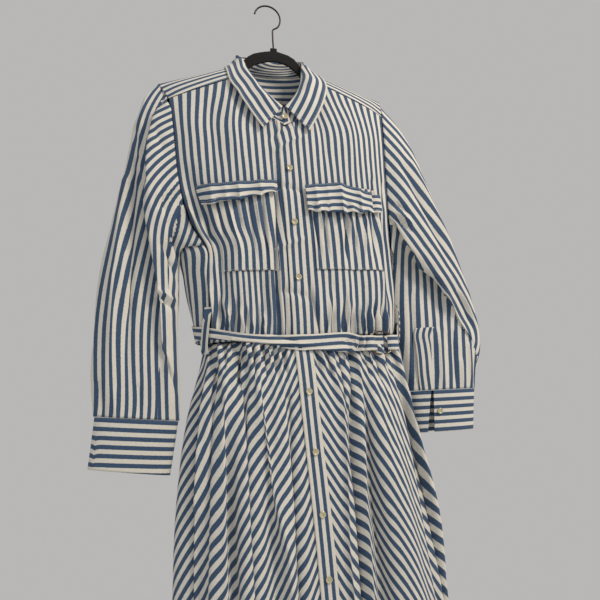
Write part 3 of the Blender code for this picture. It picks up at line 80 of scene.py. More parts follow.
def add(tree, kind, inputs=None, **settings):
    """A node with its settings. An input is a value or another node's output socket."""
    node = tree.nodes.new(kind)
    for name, value in settings.items():
        setattr(node, name, value)
    for name, value in (inputs or {}).items():
        if isinstance(value, bpy.types.NodeSocket):
            tree.links.new(value, node.inputs[name])
        else:
            node.inputs[name].default_value = value
    return node


def start_material(name, **settings):
    """A material, its node tree and its shader. A setting is an input of the shader."""
    made = bpy.data.materials.new(name)
    made.use_nodes = True
    shader = made.node_tree.nodes["Principled BSDF"]
    for setting, value in settings.items():
        shader.inputs[setting.replace("_", " ").title()].default_value = value
    return made, made.node_tree, shader


# %% [markdown]
# ## Striped cotton poplin
#
# The cloth is woven with blue and off-white warp threads in bands 5.6 mm wide, crossed by
# an off-white weft. That makes the blue a soft denim colour, mottled where the weft shows.
# The stripes follow the piece's own UV map, measured in metres across and along the cloth.

# %% Striped cotton
cotton, tree, shader = start_material("yarn_dyed_cotton_poplin", roughness=0.86,
                                      sheen_weight=0.12, sheen_roughness=0.5)
place = add(tree, "ShaderNodeUVMap", uv_map="cloth")
# The loom leaves a stripe's edge uneven by up to a third of a millimetre.
waver = add(tree, "ShaderNodeTexNoise", {"Vector": place.outputs["UV"], "Scale": 240.0,
                                         "Detail": 2.0})
split = add(tree, "ShaderNodeSeparateXYZ", {"Vector": place.outputs["UV"]})
shift = add(tree, "ShaderNodeMath", {0: waver.outputs["Fac"], 1: 0.0007, 2: -0.00035},
            operation="MULTIPLY_ADD")
across = add(tree, "ShaderNodeMath", {0: split.outputs["X"], 1: shift.outputs["Value"]},
             operation="ADD")
phase = add(tree, "ShaderNodeMath", {0: across.outputs["Value"],
                                     1: 2 * math.pi / STRIPE_REPEAT}, operation="MULTIPLY")
wave = add(tree, "ShaderNodeMath", {0: phase.outputs["Value"]}, operation="COSINE")
band = add(tree, "ShaderNodeMapRange", {"Value": wave.outputs["Value"], "From Min": -0.16,
                                        "From Max": 0.16}, interpolation_type="SMOOTHSTEP")
# Threads are 0.25 mm apart. The mottle is drawn four times coarser, so that it shows.
stretch = add(tree, "ShaderNodeMapping", {"Vector": place.outputs["UV"],
                                          "Scale": (1000.0, 260.0, 1.0)})
mottle = add(tree, "ShaderNodeTexNoise", {"Vector": stretch.outputs["Vector"], "Scale": 1.0,
                                          "Detail": 3.0})
fade = add(tree, "ShaderNodeMapRange", {"Value": mottle.outputs["Fac"], "From Min": 0.35,
                                        "From Max": 0.70})
blue = add(tree, "ShaderNodeMix", {"Factor": fade.outputs["Result"], 6: linear("2d4664"),
                                   7: linear("415a78")}, data_type="RGBA")
white = add(tree, "ShaderNodeMix", {"Factor": fade.outputs["Result"], 6: linear("d6d2c8"),
                                    7: linear("e4e1d8")}, data_type="RGBA")
colour = add(tree, "ShaderNodeMix", {"Factor": band.outputs["Result"],
                                     6: blue.outputs[2], 7: white.outputs[2]},
             data_type="RGBA")
weave = add(tree, "ShaderNodeBump", {"Height": mottle.outputs["Fac"], "Distance": 0.00012,
                                     "Strength": 0.5})
tree.links.new(colour.outputs[2], shader.inputs["Base Color"])
tree.links.new(weave.outputs["Normal"], shader.inputs["Normal"])
print("one stripe is", round(STRIPE_REPEAT * 500, 1), "mm wide")

# %% [markdown]
# ## Shell, wire, flock, thread and label
#
# The other finishes are small but they tell the eye what each part is: shell buttons are
# glossy and pearly, the belt's rings are plain nickel wire, the hook is dark plated wire,
# and the hanger has black flocking, a fuzz of short fibres that drinks the light.

# %% Shell and metal
shell, tree, shader = start_material("polished_river_shell", roughness=0.22, coat_weight=0.5)
place = add(tree, "ShaderNodeTexCoord")
cloud = add(tree, "ShaderNodeTexNoise", {"Vector": place.outputs["Object"], "Scale": 260.0,
                                         "Detail": 2.0})
pearl = add(tree, "ShaderNodeMix", {"Factor": cloud.outputs["Fac"], 6: linear("a39a6e"),
                                    7: linear("d9d2b4")}, data_type="RGBA")
tree.links.new(pearl.outputs[2], shader.inputs["Base Color"])
ring_metal = start_material("polished_nickel_wire", base_color=linear("6b6257"),
                            metallic=1.0, roughness=0.2)[0]
hook_metal = start_material("black_nickel_plated_wire", base_color=linear("3a3433"),
                            metallic=1.0, roughness=0.3)[0]

# %% Flock, thread and label tape
flock, tree, shader = start_material("black_flocking", roughness=0.95, sheen_weight=0.05)
place = add(tree, "ShaderNodeTexCoord")
# Flock fibres are about 0.5 mm long.
fuzz = add(tree, "ShaderNodeTexNoise", {"Vector": place.outputs["Object"], "Scale": 1900.0,
                                        "Detail": 2.0})
pile = add(tree, "ShaderNodeMix", {"Factor": fuzz.outputs["Fac"], 6: linear("050506"),
                                   7: linear("141416")}, data_type="RGBA")
nap = add(tree, "ShaderNodeBump", {"Height": fuzz.outputs["Fac"], "Distance": 0.0004,
                                   "Strength": 0.8})
tree.links.new(pile.outputs[2], shader.inputs["Base Color"])
tree.links.new(nap.outputs["Normal"], shader.inputs["Normal"])

thread = start_material("cotton_sewing_thread", base_color=linear("e9e5dc"),
                        roughness=0.8)[0]

label_cloth, tree, shader = start_material("woven_label_tape", roughness=0.7)
place = add(tree, "ShaderNodeTexCoord")
yarn = add(tree, "ShaderNodeTexNoise", {"Vector": place.outputs["Object"], "Scale": 1500.0})
tape = add(tree, "ShaderNodeMix", {"Factor": yarn.outputs["Fac"], 6: linear("b9a98a"),
                                   7: linear("d9cbb0")}, data_type="RGBA")
tree.links.new(tape.outputs[2], shader.inputs["Base Color"])
print("materials", len(bpy.data.materials))

# %% [markdown]
# ## From a bmesh to a piece
#
# A shape is worked on as a bmesh and kept as a mesh, which an object carries. The dress and
# its hanger are one body, so each finished piece rides on that body.

# %% Helpers for pieces


def mesh_from(bm, name):
    """The mesh of a bmesh, which is freed."""
    mesh = bpy.data.meshes.new(name)
    bm.to_mesh(mesh)
    bm.free()
    return mesh


def object_from(name, data):
    """An object in the scene for a mesh, a light or a camera."""
    made = bpy.data.objects.new(name, data)
    bpy.context.scene.collection.objects.link(made)
    return made


def piece_from(name, mesh, finish):
    """A smooth piece with its finish, that rides on the body."""
    mesh.shade_smooth()
    mesh.materials.append(finish)
    made = object_from(name, mesh)
    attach(made, "root")
    return made


def settled(piece):
    """A new mesh with the shape that a piece has after its modifiers."""
    return bpy.data.meshes.new_from_object(
        piece.evaluated_get(bpy.context.evaluated_depsgraph_get()))


# %% [markdown]
# ## Reading a wall back
#
# Each CAD wall is two skins joined by a narrow rim. The rim's short edges all have the
# wall's exact thickness, so they give the rim away. Without it the two skins fall apart,
# and the one that looks away from the body is the outside of the cloth.

# %% The outer skin of a wall


def neighbours(vertex):
    return [edge.other_vert(vertex) for edge in vertex.link_edges]


def parts_of(bm):
    """The separate sets of joined faces."""
    left = set(bm.faces)
    found = []
    while left:
        part = [left.pop()]
        for face in part:
            for edge in face.edges:
                for other in edge.link_faces:
                    if other in left:
                        left.remove(other)
                        part.append(other)
        found.append(part)
    return found


def skin_of(node, wall=CAD_WALL, tube=False, inside=False):
    """The outer skin of a CAD wall, or its inner one, as a bmesh of triangles."""
    bm = bmesh.new()
    bm.from_mesh(NODES[node].data)
    bmesh.ops.remove_doubles(bm, verts=bm.verts, dist=MERGE)
    rim = [face for face in bm.faces
           if any(abs(edge.calc_length() - wall) < 3 * MERGE for edge in face.edges)]
    bmesh.ops.delete(bm, geom=rim, context="FACES")
    middle = sum((v.co for v in bm.verts), Vector()) / len(bm.verts)
    parts = sorted(parts_of(bm), key=len)[-2:]
    scores = []
    for part in parts:
        score = 0
        for face in part:
            centre = face.calc_center_median()
            axis = middle if tube else Vector((*BODY_AXIS, centre.z))
            score += face.calc_area() * face.normal.dot((centre - axis).normalized())
        scores.append(score)
    keep = parts[int(np.argmin(scores) if inside else np.argmax(scores))]
    others = [face for face in bm.faces if face not in set(keep)]
    bmesh.ops.delete(bm, geom=others, context="FACES")
    return bm


def in_a_line(group, closed):
    """A group of vertices in the order in which its own edges join them."""
    group = set(group)
    links = {v: [w for w in neighbours(v) if w in group] for v in group}
    ends = [v for v in group if len(links[v]) < 2]
    line = [list(group)[0] if closed else min(ends, key=lambda v: v.co.x)]
    while len(line) < len(group):
        onward = [w for w in links[line[-1]] if w not in line]
        if not onward:
            break
        line.append(onward[0])
    return line


# %% [markdown]
# ## Rows and columns
#
# A skin was made from rows of points. From one end row, the next row is every neighbour
# that hasn't been visited, and so on to the other end. The table of points that comes out
# can then be read between its rows and columns with a smooth curve, as finely as wanted.

# %% Rows and columns of a skin


def next_line(before, group, closed=False):
    """A row as a line that runs the way of the row before. A closed row is also turned."""
    line = in_a_line(group, closed)
    starts = range(len(line) if closed else 1)
    ways = [way[start:] + way[:start] for way in (line, line[::-1]) for start in starts]
    return min(ways, key=lambda way: sum((a.co - b.co).length for a, b in zip(before, way)))


def rows_from(first, order=next_line):
    """All the rows of a skin from its first one, each put in order after the row before."""
    rows = [first]
    seen = set(first)
    while group := {w for v in rows[-1] for w in neighbours(v)} - seen:
        rows.append(order(rows[-1], group))
        seen |= group
    return rows


def points_of(rows):
    return np.array([[list(v.co) for v in row] for row in rows])


def left_to_right(points):
    return points[:, ::-1] if points[0, 0, 0] > points[0, -1, 0] else points


def table_of(bm, closed=False, from_top=False, reach=0.005):
    """The points of a skin as rows by columns, from its top row down."""
    edge = [v for v in bm.verts if v.is_boundary]
    if closed:
        start = min(edge, key=lambda v: v.co.z)
        group = {start}
        stack = [start]
        while stack:
            for e in stack.pop().link_edges:
                for v in e.verts:
                    if e.is_boundary and v not in group:
                        group.add(v)
                        stack.append(v)
    else:
        end = (max if from_top else min)(v.co.z for v in edge)
        group = [v for v in edge if abs(v.co.z - end) < reach]
    rows = rows_from(in_a_line(group, closed),
                     lambda before, group: next_line(before, group, closed))
    return points_of(rows[::-1] if rows[0][0].co.z < rows[-1][0].co.z else rows)


# %% A finer table of the same surface


def smooth_along(points, stations, at):
    """Read the first axis of a table of points at new stations, by a cubic curve."""
    steps = np.diff(stations)
    slopes = np.diff(points, axis=0) / steps[:, None, None]
    tangents = np.empty(points.shape)
    tangents[0] = slopes[0]
    tangents[-1] = slopes[-1]
    before = steps[:-1, None, None]
    after = steps[1:, None, None]
    tangents[1:-1] = (slopes[:-1] * after + slopes[1:] * before) / (before + after)
    cell = np.clip(np.searchsorted(stations, at, side="right") - 1, 0, len(steps) - 1)
    t = ((at - stations[cell]) / steps[cell])[:, None, None]
    size = steps[cell][:, None, None]
    rise = (3 - 2 * t) * t * t
    enter = t * (1 - t) ** 2
    leave = t * t * (t - 1)
    return (points[cell] * (1 - rise) + points[cell + 1] * rise
            + size * (enter * tangents[cell] + leave * tangents[cell + 1]))


def smooth_both(points, down, rows, over, columns):
    """Read a table of points at new rows and new columns."""
    made = smooth_along(points, down, rows)
    return smooth_along(made.transpose(1, 0, 2), over, columns).transpose(1, 0, 2)


def mean_stations(points):
    """How far along each row lies on average."""
    steps = np.linalg.norm(np.diff(points, axis=0), axis=2).mean(1)
    return np.concatenate([[0], np.cumsum(np.maximum(steps, 1e-5))])


def between(stations, size, first=0, last=None):
    """New stations about one size apart that keep each old one, and where the old are."""
    last = len(stations) - 1 if last is None else last
    made = []
    kept = []
    for i in range(first, last):
        count = max(round((stations[i + 1] - stations[i]) / size), 1)
        kept.append(len(made))
        made += list(np.linspace(stations[i], stations[i + 1], count + 1)[:-1])
    kept.append(len(made))
    return np.array(made + [stations[last]]), kept


def finer(points, row_size, column_size, closed=False, kept=None):
    """A finer table of the same surface. A closed one repeats its first column at its end.
    A list given as kept takes the new rows and columns of the old points."""
    pad = 3 if closed else 0
    if closed:
        points = np.concatenate([points[:, -pad:], points, points[:, :pad + 1]], 1)
    down = mean_stations(points)
    over = mean_stations(points.transpose(1, 0, 2))
    rows, kept_rows = between(down, row_size)
    columns, kept_columns = between(over, column_size, pad, len(over) - 1 - pad)
    if kept is not None:
        kept += [kept_rows, kept_columns]
    return smooth_both(points, down, rows, over, columns)


# %% Lengths of cloth and outward directions


def lengths(points, axis):
    """The length of cloth from the table's start to each point along one axis."""
    steps = np.linalg.norm(np.diff(points, axis=axis), axis=2)
    zero = np.zeros((1, points.shape[1]) if axis == 0 else (points.shape[0], 1))
    return np.concatenate([zero, np.cumsum(steps, axis)], axis)


def normals_of(points, closed=False):
    """Outward directions of a table: the cross product of its two ways."""
    down = np.gradient(points, axis=0)
    if closed:
        wide = np.concatenate([points[:, -2:-1], points, points[:, 1:2]], 1)
        over = np.gradient(wide, axis=1)[:, 1:-1]
    else:
        over = np.gradient(points, axis=1)
    made = np.cross(down, over)
    return made / np.maximum(np.linalg.norm(made, axis=2, keepdims=True), 1e-12)


# %% [markdown]
# ## From a table of points to a sheet of cloth
#
# A sheet starts as Blender's own flat grid. Its points are moved onto the table, and its
# UV map takes the length of cloth across the stripes and along them. A Solidify modifier
# then gives the sheet its thickness, inwards, so that the outside stays where it is.


def sheet(name, points, across, along, outward, thickness=CLOTH, closed=False, cut=None,
          split_at=None, across_after=None, finish=cotton):
    """A sheet on a table of points. After the columns of split_at the stripes are read
    from across_after, where one layer of cloth folds over another."""
    rows, columns = points.shape[:2]
    bm = bmesh.new()
    bmesh.ops.create_grid(bm, x_segments=columns - 1, y_segments=rows - 1, size=0.5)
    mesh = mesh_from(bm, name)
    flat = np.empty(len(mesh.vertices) * 3)
    mesh.vertices.foreach_get("co", flat)
    flat = flat.reshape(-1, 3)
    column = np.rint((flat[:, 0] + 0.5) * (columns - 1)).astype(int)
    row = np.rint((flat[:, 1] + 0.5) * (rows - 1)).astype(int)
    mesh.vertices.foreach_set("co", points[row, column].ravel())
    corner = np.empty(len(mesh.loops), int)
    mesh.loops.foreach_get("vertex_index", corner)
    face_column = column[corner].reshape(-1, 4).min(1)
    face_row = row[corner].reshape(-1, 4).min(1)
    u = across[row, column][corner]
    if split_at is not None:
        after = np.repeat(face_column >= split_at[face_row], 4)
        u = np.where(after, across_after[row, column][corner], u)
    cloth = mesh.uv_layers.new(name="cloth")
    cloth.data.foreach_set("uv", np.stack([u, along[row, column][corner]], 1).ravel())
    bm = bmesh.new()
    bm.from_mesh(mesh)
    if cut is not None:
        bm.faces.ensure_lookup_table()
        gone = np.nonzero(cut(face_row, face_column))[0]
        bmesh.ops.delete(bm, geom=[bm.faces[i] for i in gone], context="FACES")
    if closed:
        bmesh.ops.remove_doubles(bm, verts=bm.verts, dist=MERGE)
    facing = sum((face.normal * face.calc_area()).dot(
        Vector(outward(face.calc_center_median()))) for face in bm.faces)
    if facing < 0:
        bmesh.ops.reverse_faces(bm, faces=bm.faces)
    bm.to_mesh(mesh)
    bm.free()
    finish_cloth(name, mesh, thickness, finish)


def finish_cloth(name, mesh, thickness, finish=cotton):
    """A piece of cloth with its thickness, in place of the solid of the same name."""
    made = piece_from(name, mesh, finish)
    solid = made.modifiers.new("thickness", "SOLIDIFY")
    solid.thickness = thickness
    solid.offset = -1
    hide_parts(name)


def from_body(centre):
    """Away from the body's upright axis."""
    return centre.x - BODY_AXIS[0], centre.y - BODY_AXIS[1], 0.0


# %% [markdown]
# ## Creases, listed one by one
#
# A crease is a soft ridge or trough along a line of two or more spots, seen from the front.
# Each row of a table gives its half width and height, then its spots, in millimetres. A
# trough has a negative height. Cloth is drawn towards a crease, so its stripes close up
# there. Pieces that lie on each other read the same table, so they move together.

# %% Creases
DRAW_IN = 0.85      # how far a crease as high as it is wide closes up the cloth
DEEPER = 1.45       # soft light hides creases, so they are this much deeper than seen
START_SHARE = 0.6   # a crease's height at its start, of its full height
FULL_FROM = 0.2     # where it reaches its full height, along its length
FULL_TO = 0.55      # where it starts to fade out


def smooth_step(value, low, high):
    t = np.clip((value - low) / (high - low), 0, 1)
    return t * t * (3 - 2 * t)


def relief(table, x, z):
    """How far the creases of a table lift the cloth at x and z, and pull it along."""
    lift = np.zeros(np.shape(x))
    pull = np.zeros((*np.shape(x), 3))
    for width, height, *spots in table:
        width, height = width / 1000, height / 1000 * DEEPER
        path = np.array(spots).reshape(-1, 2) / 1000
        steps = np.hypot(*np.diff(path, axis=0).T)
        near = np.full(np.shape(x), np.inf)
        side = np.zeros((*np.shape(x), 3))
        run = np.zeros(np.shape(x))
        done = 0.0
        for start, end, step in zip(path, path[1:], steps):
            way = (end - start) / step
            t = np.clip((x - start[0]) * way[0] + (z - start[1]) * way[1], 0, step)
            gap_x = x - start[0] - t * way[0]
            gap_z = z - start[1] - t * way[1]
            gap = np.hypot(gap_x, gap_z)
            closer = gap < near
            near = np.where(closer, gap, near)
            run = np.where(closer, done + t, run)
            side[closer, 0] = gap_x[closer]
            side[closer, 2] = gap_z[closer]
            done += step
        taper = START_SHARE + (1 - START_SHARE) * smooth_step(run, 0, FULL_FROM * done)
        taper *= 1 - smooth_step(run, FULL_TO * done, done)
        shape = taper * np.exp(-(near / width) ** 2)
        lift += height * shape
        pull -= side * (DRAW_IN * min(abs(height) / width, 1.0) * shape)[:, :, None]
    return lift, pull


def wander(x, z, scale, height):
    """A slow, uneven swell, as cloth has that was worn and hung up again."""
    a = np.sin(x / scale * 6.1 + 2.4 + 1.7 * np.sin(z / scale * 3.3 + 1.0))
    b = np.sin(z / scale * 4.7 - 2.4 + 1.3 * np.sin(x / scale * 5.2 - 1.0))
    return height * a * b


def pressed(points, normals, table=(), share=1.0, swell=0.0006):
    """A table of points with its creases pressed in."""
    x, z = points[:, :, 0], points[:, :, 2]
    lift, pull = relief(table, x, z)
    pull = pull - normals * np.sum(pull * normals, 2, keepdims=True)
    lift = lift * share + wander(x, z, 0.30, swell) + wander(z, x, 0.055, swell * 0.35)
    return points + normals * lift[:, :, None] + pull * np.expand_dims(share, -1)


# %% [markdown]
# ## Topstitching
#
# A lockstitch row is a line of small humps of thread, 2.3 mm long with a gap where the
# thread dives into the cloth. Each hump is an icosphere of twenty faces, stretched along the
# row. They are many, so all the rows of one part of the dress share a mesh.

# %% Rows of stitches
STITCH = 0.0031             # from one stitch to the next
STITCH_LENGTH = 0.0023
THREAD_WIDTH = 0.00052
STITCH_FACES = 20
SEAM_MARGIN = 0.001         # how far a row stops short of a panel's corners
# How far a row runs from the edge that it holds.
EDGE_SEAM = 0.0022          # plackets and yoke
POCKET_SEAM = 0.0020
NARROW_SEAM = 0.0018        # the sleeves' slits and a flap's top
WIDE_SEAM = 0.0050          # the collar's leaf and a flap's free edge
HEM_SEAM = 0.010
SEAMS = {}


def inset_line(points, edge, inset):
    """The line at a distance from one edge of a table of points."""
    if edge in ("top", "bottom"):
        points = points.transpose(1, 0, 2)
    if edge in ("right", "bottom"):
        points = points[:, ::-1]
    far = lengths(points, 1)
    return np.array([[np.interp(inset, far[i], points[i, :, axis]) for axis in range(3)]
                     for i in range(len(points))])


def sew(part, line, normals, margin=0.0, pitch=STITCH, size=STITCH_LENGTH):
    """Stitches along a line of points, that stop short of its two ends by a margin."""
    far = np.concatenate([[0], np.cumsum(np.linalg.norm(np.diff(line, axis=0), axis=1))])
    bm = SEAMS.setdefault(part, bmesh.new())
    for at in np.arange(margin + pitch / 2, far[-1] - margin, pitch):
        spot, ahead, up = (Vector([np.interp(place, far, values[:, axis])
                                   for axis in range(3)])
                           for place, values in ((at, line), (at + pitch / 4, line),
                                                 (at, normals)))
        way = (ahead - spot).normalized()
        over = up.cross(way).normalized()
        up = way.cross(over)
        turn = Matrix((way * size / 2, over * THREAD_WIDTH / 2,
                       up * THREAD_WIDTH / 2)).transposed().to_4x4()
        bmesh.ops.create_icosphere(bm, subdivisions=1, radius=1,
                                   matrix=Matrix.Translation(spot) @ turn)


def sew_edges(part, points, normals, **insets):
    """Rows of stitches at a distance from the named edges of a table."""
    for edge, inset in insets.items():
        turned = normals.transpose(1, 0, 2) if edge in ("top", "bottom") else normals
        along = turned[:, -1] if edge in ("right", "bottom") else turned[:, 0]
        sew(part, inset_line(points, edge, inset), along, SEAM_MARGIN)


# %% [markdown]
# ## Bodice
#
# The fronts, back and yoke are cut on the straight grain, so the warp stripes run down the
# fronts and back. The yoke is cut the other way, so its stripes run along the shoulders.
# The waist seam is gathered: its small folds start at the belt and fade upwards.

# %% Creases of the bodice
BODICE_CREASES = (
    # The underarm seam rolls over beside the pocket.
    (4, 5.0, -158, -378, -150, -398, -128, -450),
    (4, -5.0, -164, -392, -140, -440, -128, -470),
    (5, -4.0, -148, -462, -150, -520, -140, -570),
    (5, 3.5, -160, -480, -152, -560),
    # Between pocket and placket the cloth falls into one long trough.
    (6, -6.0, -32, -590, -31, -480, -23, -372, -25, -262),
    (3, 2.5, -42, -580, -42, -493, -38, -400),
    # Gathers over the waist seam, from the underarm to the placket.
    (5, -5.0, -133, -575, -139, -495, -146, -450),
    (4, 4.0, -125, -575, -132, -508, -137, -470),
    (4, -3.5, -113, -575, -119, -515),
    (4, 3.5, -101, -575, -116, -513),
    (4, -4.5, -97, -578, -94, -510),
    (4, 3.0, -84, -578, -92, -535),
    (3, 3.0, -71, -580, -80, -528),
    (3, -3.5, -62, -582, -62, -525),
    (3, 3.0, -53, -582, -55, -545),
    (3, -3.0, -19, -588, -20, -493),
    (4, -4.0, 34, -588, 19, -492),
    (4, 3.5, 46, -588, 62, -513),
    (3, -3.0, 56, -588, 60, -540),
    (4, -4.0, 70, -588, 86, -515),
    (3, 3.0, 79, -588, 92, -530),
    (3, -3.5, 89, -588, 95, -540),
    (3, 3.5, 97, -588, 101, -548),
    (3, -4.0, 104, -588, 106, -536),
    (3, 3.5, 111, -588, 114, -552),
    (3, -4.0, 118, -588, 119, -534),
    (3, 4.0, 125, -588, 128, -550),
    (3, -4.0, 133, -588, 134, -530),
    (3, 4.0, 141, -588, 143, -552),
    (3, -3.5, 149, -588, 150, -536),
    (3, 3.5, 157, -585, 158, -545),
    # Pockets, gathered under their flaps.
    (4, -3.0, -134, -374, -122, -485),
    (3, -3.0, -118, -372, -108, -440),
    (4, 2.5, -101, -372, -82, -478),
    (3, -2.5, -88, -371, -78, -430),
    (4, -2.5, -71, -371, -60, -478),
    (3, 2.5, -57, -370, -52, -430),
    (3, -4.0, -47, -366, -43, -478),
    (3, -3.5, 34, -382, 46, -478),
    (3, 2.5, 46, -380, 52, -430),
    (3, -3.5, 62, -379, 55, -415, 58, -478),
    (4, 2.5, 80, -378, 82, -478),
    (3, -4.5, 97, -377, 86, -480),
    (3, 2.5, 104, -377, 96, -440),
    (3, -2.5, 115, -377, 104, -478),
    (3, 2.5, 133, -379, 121, -478),
    # The chest is nearly smooth.
    (14, -2.0, -120, -215, -112, -330),
    (12, 2.0, -85, -200, -80, -330),
    (12, -2.0, 62, -200, 66, -330),
    (14, 2.0, 120, -210, 116, -330),
    (5, -3.0, 150, -330, 146, -400, 138, -490),
    (5, 3.0, 160, -400, 156, -480, 152, -560),
    (4, -2.0, 175, -330, 170, -380),
)
PLACKET_CREASES = (
    (6, 3.0, 34, -190, -8, -232, -44, -262),
    (6, -3.0, 30, -214, 0, -246, -40, -284),
    (6, 2.5, 30, -262, 0, -276, -34, -300),
    (6, -2.0, -30, -345, 0, -352, 34, -362),
    (6, 2.0, -30, -450, 0, -440, 34, -430),
    (7, -2.0, -30, -515, 0, -522, 34, -535),
)
BODICE_BACK_CREASES = (
    (12, -6.0, -52, -190, -58, -330, -60, -560),
    (10, 5.0, -30, -200, -34, -350, -30, -540),
    (12, -6.0, 58, -190, 62, -330, 60, -560),
    (10, 5.0, 88, -220, 84, -360, 90, -540),
    (12, 4.0, -100, -230, -108, -380, -100, -560),
    (10, -4.0, 130, -260, 132, -400, 120, -560),
    (5, 4.0, -130, -590, -128, -520),
    (4, -4.5, -112, -590, -116, -530),
    (4, 4.0, -92, -590, -90, -525),
    (4, -4.0, -76, -590, -80, -535),
    (4, 3.5, -48, -590, -44, -530),
    (4, -4.5, -22, -590, -24, -520),
    (4, 4.0, -4, -590, -2, -540),
    (4, -4.0, 16, -590, 18, -525),
    (4, 4.0, 34, -590, 30, -535),
    (4, -4.0, 46, -590, 48, -520),
    (4, 3.5, 78, -590, 80, -540),
    (4, -4.5, 102, -590, 98, -528),
    (4, 4.0, 118, -590, 120, -540),
    (4, -4.0, 140, -590, 136, -520),
)
print("bodice creases", len(BODICE_CREASES), "in front,", len(BODICE_BACK_CREASES), "behind")

# %% From a wall to a panel
CHEST = -0.330      # the height at which stripes are counted


def panel_table(node, row_size=0.0040, column_size=0.0016, wall=CAD_WALL, inside=False,
                **options):
    """A fine table of a wall's outer skin, or of its inner one."""
    bm = skin_of(node, wall=wall, inside=inside)
    points = left_to_right(table_of(bm, **options))
    bm.free()
    return finer(points, row_size, column_size)


def upright_stripes(points, centre_at_start=True):
    """Stripes that run down a panel, with as many in each row as at the chest."""
    over = lengths(points, 1)
    row = np.argmin(np.abs(points[:, :, 2].mean(1) - CHEST))
    share = over / over[:, -1:]
    if not centre_at_start:
        share = 1 - share
    return share * over[row, -1]


def outward_normals(points):
    """A panel's normals, turned away from the body's upright axis."""
    normals = normals_of(points)
    away = points - np.array([*BODY_AXIS, 0])
    away[:, :, 2] = 0
    return -normals if np.sum(normals * away) < 0 else normals


def add_panel(name, points, across, table=(), thickness=CLOTH, sewn=None, **insets):
    """A sheet with its creases and its topstitching, for one CAD wall."""
    shaped = pressed(points, outward_normals(points), table)
    sheet(name, shaped, across, lengths(points, 0), from_body, thickness)
    if insets:
        sew_edges(sewn, shaped, outward_normals(shaped), **insets)


# %% Bodice fronts, back and placket
for side in ("right", "left"):
    points = panel_table(f"bodice_front_{side}")
    add_panel(f"bodice_front_{side}", points, upright_stripes(points, side == "left"),
              BODICE_CREASES + PLACKET_CREASES)
points = panel_table("bodice_back", 0.0055, 0.0026)
add_panel("bodice_back", points, upright_stripes(points), BODICE_BACK_CREASES)
points = panel_table("placket_bodice", 0.003, 0.0016)
add_panel("placket_bodice", points, lengths(points, 1) - PLACKET_HALF,
          BODICE_CREASES + PLACKET_CREASES, DOUBLE_CLOTH, "placket",
          left=EDGE_SEAM, right=EDGE_SEAM)

# %% [markdown]
# ## Pockets and flaps
#
# A chest pocket is a patch, gathered under its flap, so it takes the bodice's own creases.
# The flap is cut crosswise and its lower edge ripples. One of the two flaps tapers.

# %% Edges and ripples of the flaps
FLAP_WAVE = 0.9        # how much lower a ripple hangs, of its height
FLAP_LIFT = 0.003      # how far a flap's free edge stands off its pocket
# Each flap's x, top edge and bottom edge, in millimetres. One tapers towards the placket.
FLAP_EDGES = {"right": ((-151, -349, -379), (-80, -344, -371), (-12, -339, -355)),
              "left": ((27, -347, -389), (82, -341, -391), (149, -355, -386))}
FLAP_CREASES = (
    (9, 3.6, -126, -344, -122, -430),
    (6, 2.0, -104, -344, -104, -430),
    (9, 4.2, -84, -342, -82, -430),
    (8, 3.6, -50, -340, -48, -430),
    (5, 2.4, -26, -338, -26, -430),
    (7, 3.4, 40, -344, 42, -430),
    (6, 1.8, 62, -344, 60, -430),
    (10, 4.6, 84, -340, 86, -430),
    (7, 3.6, 118, -344, 120, -430),
    (5, 2.6, 140, -350, 140, -430),
)
print("flap ripples", len(FLAP_CREASES))

# %% Pockets and flaps
POCKET_EASE = {"right": 0.82, "left": 0.92}     # pulled wide, so stripes lie further apart
for side in ("right", "left"):
    points = panel_table(f"pocket_{side}", 0.003, 0.0014)
    add_panel(f"pocket_{side}", points, upright_stripes(points) * POCKET_EASE[side],
              BODICE_CREASES, sewn="pockets",
              left=POCKET_SEAM, right=POCKET_SEAM, bottom=POCKET_SEAM)
    points = panel_table(f"pocket_flap_{side}", 0.002, 0.002, reach=0.006)
    free = np.linspace(0, 1, len(points))[:, None]
    at, top, bottom = np.array(FLAP_EDGES[side]).T / 1000
    top = np.interp(points[:, :, 0], at, top)
    points[:, :, 2] = top + free * (np.interp(points[:, :, 0], at, bottom) - top)
    across = lengths(points, 0) + STRIPE_REPEAT / 4
    # The ripples run out to the flap's free edge, which waves up and down with them.
    points[:, :, 2] -= FLAP_WAVE * free * relief(FLAP_CREASES, points[:, :, 0],
                                                 points[:, :, 2])[0]
    points[:, :, 1] -= FLAP_LIFT * free + 2 * DOUBLE_CLOTH
    add_panel(f"pocket_flap_{side}", points, across, BODICE_CREASES + FLAP_CREASES,
              DOUBLE_CLOTH, "pockets", top=NARROW_SEAM, bottom=WIDE_SEAM)
    print("pocket and flap", side, "flap's rows and columns", points.shape[:2])

# %% [markdown]
# ## Skirt
#
# The skirt is cut on the bias, near half a right angle to the warp. That makes it swing, and
# its stripes meet at the centre front as chevrons. It hangs in long folds from the gathered
# waist seam, one of them much deeper than the rest.

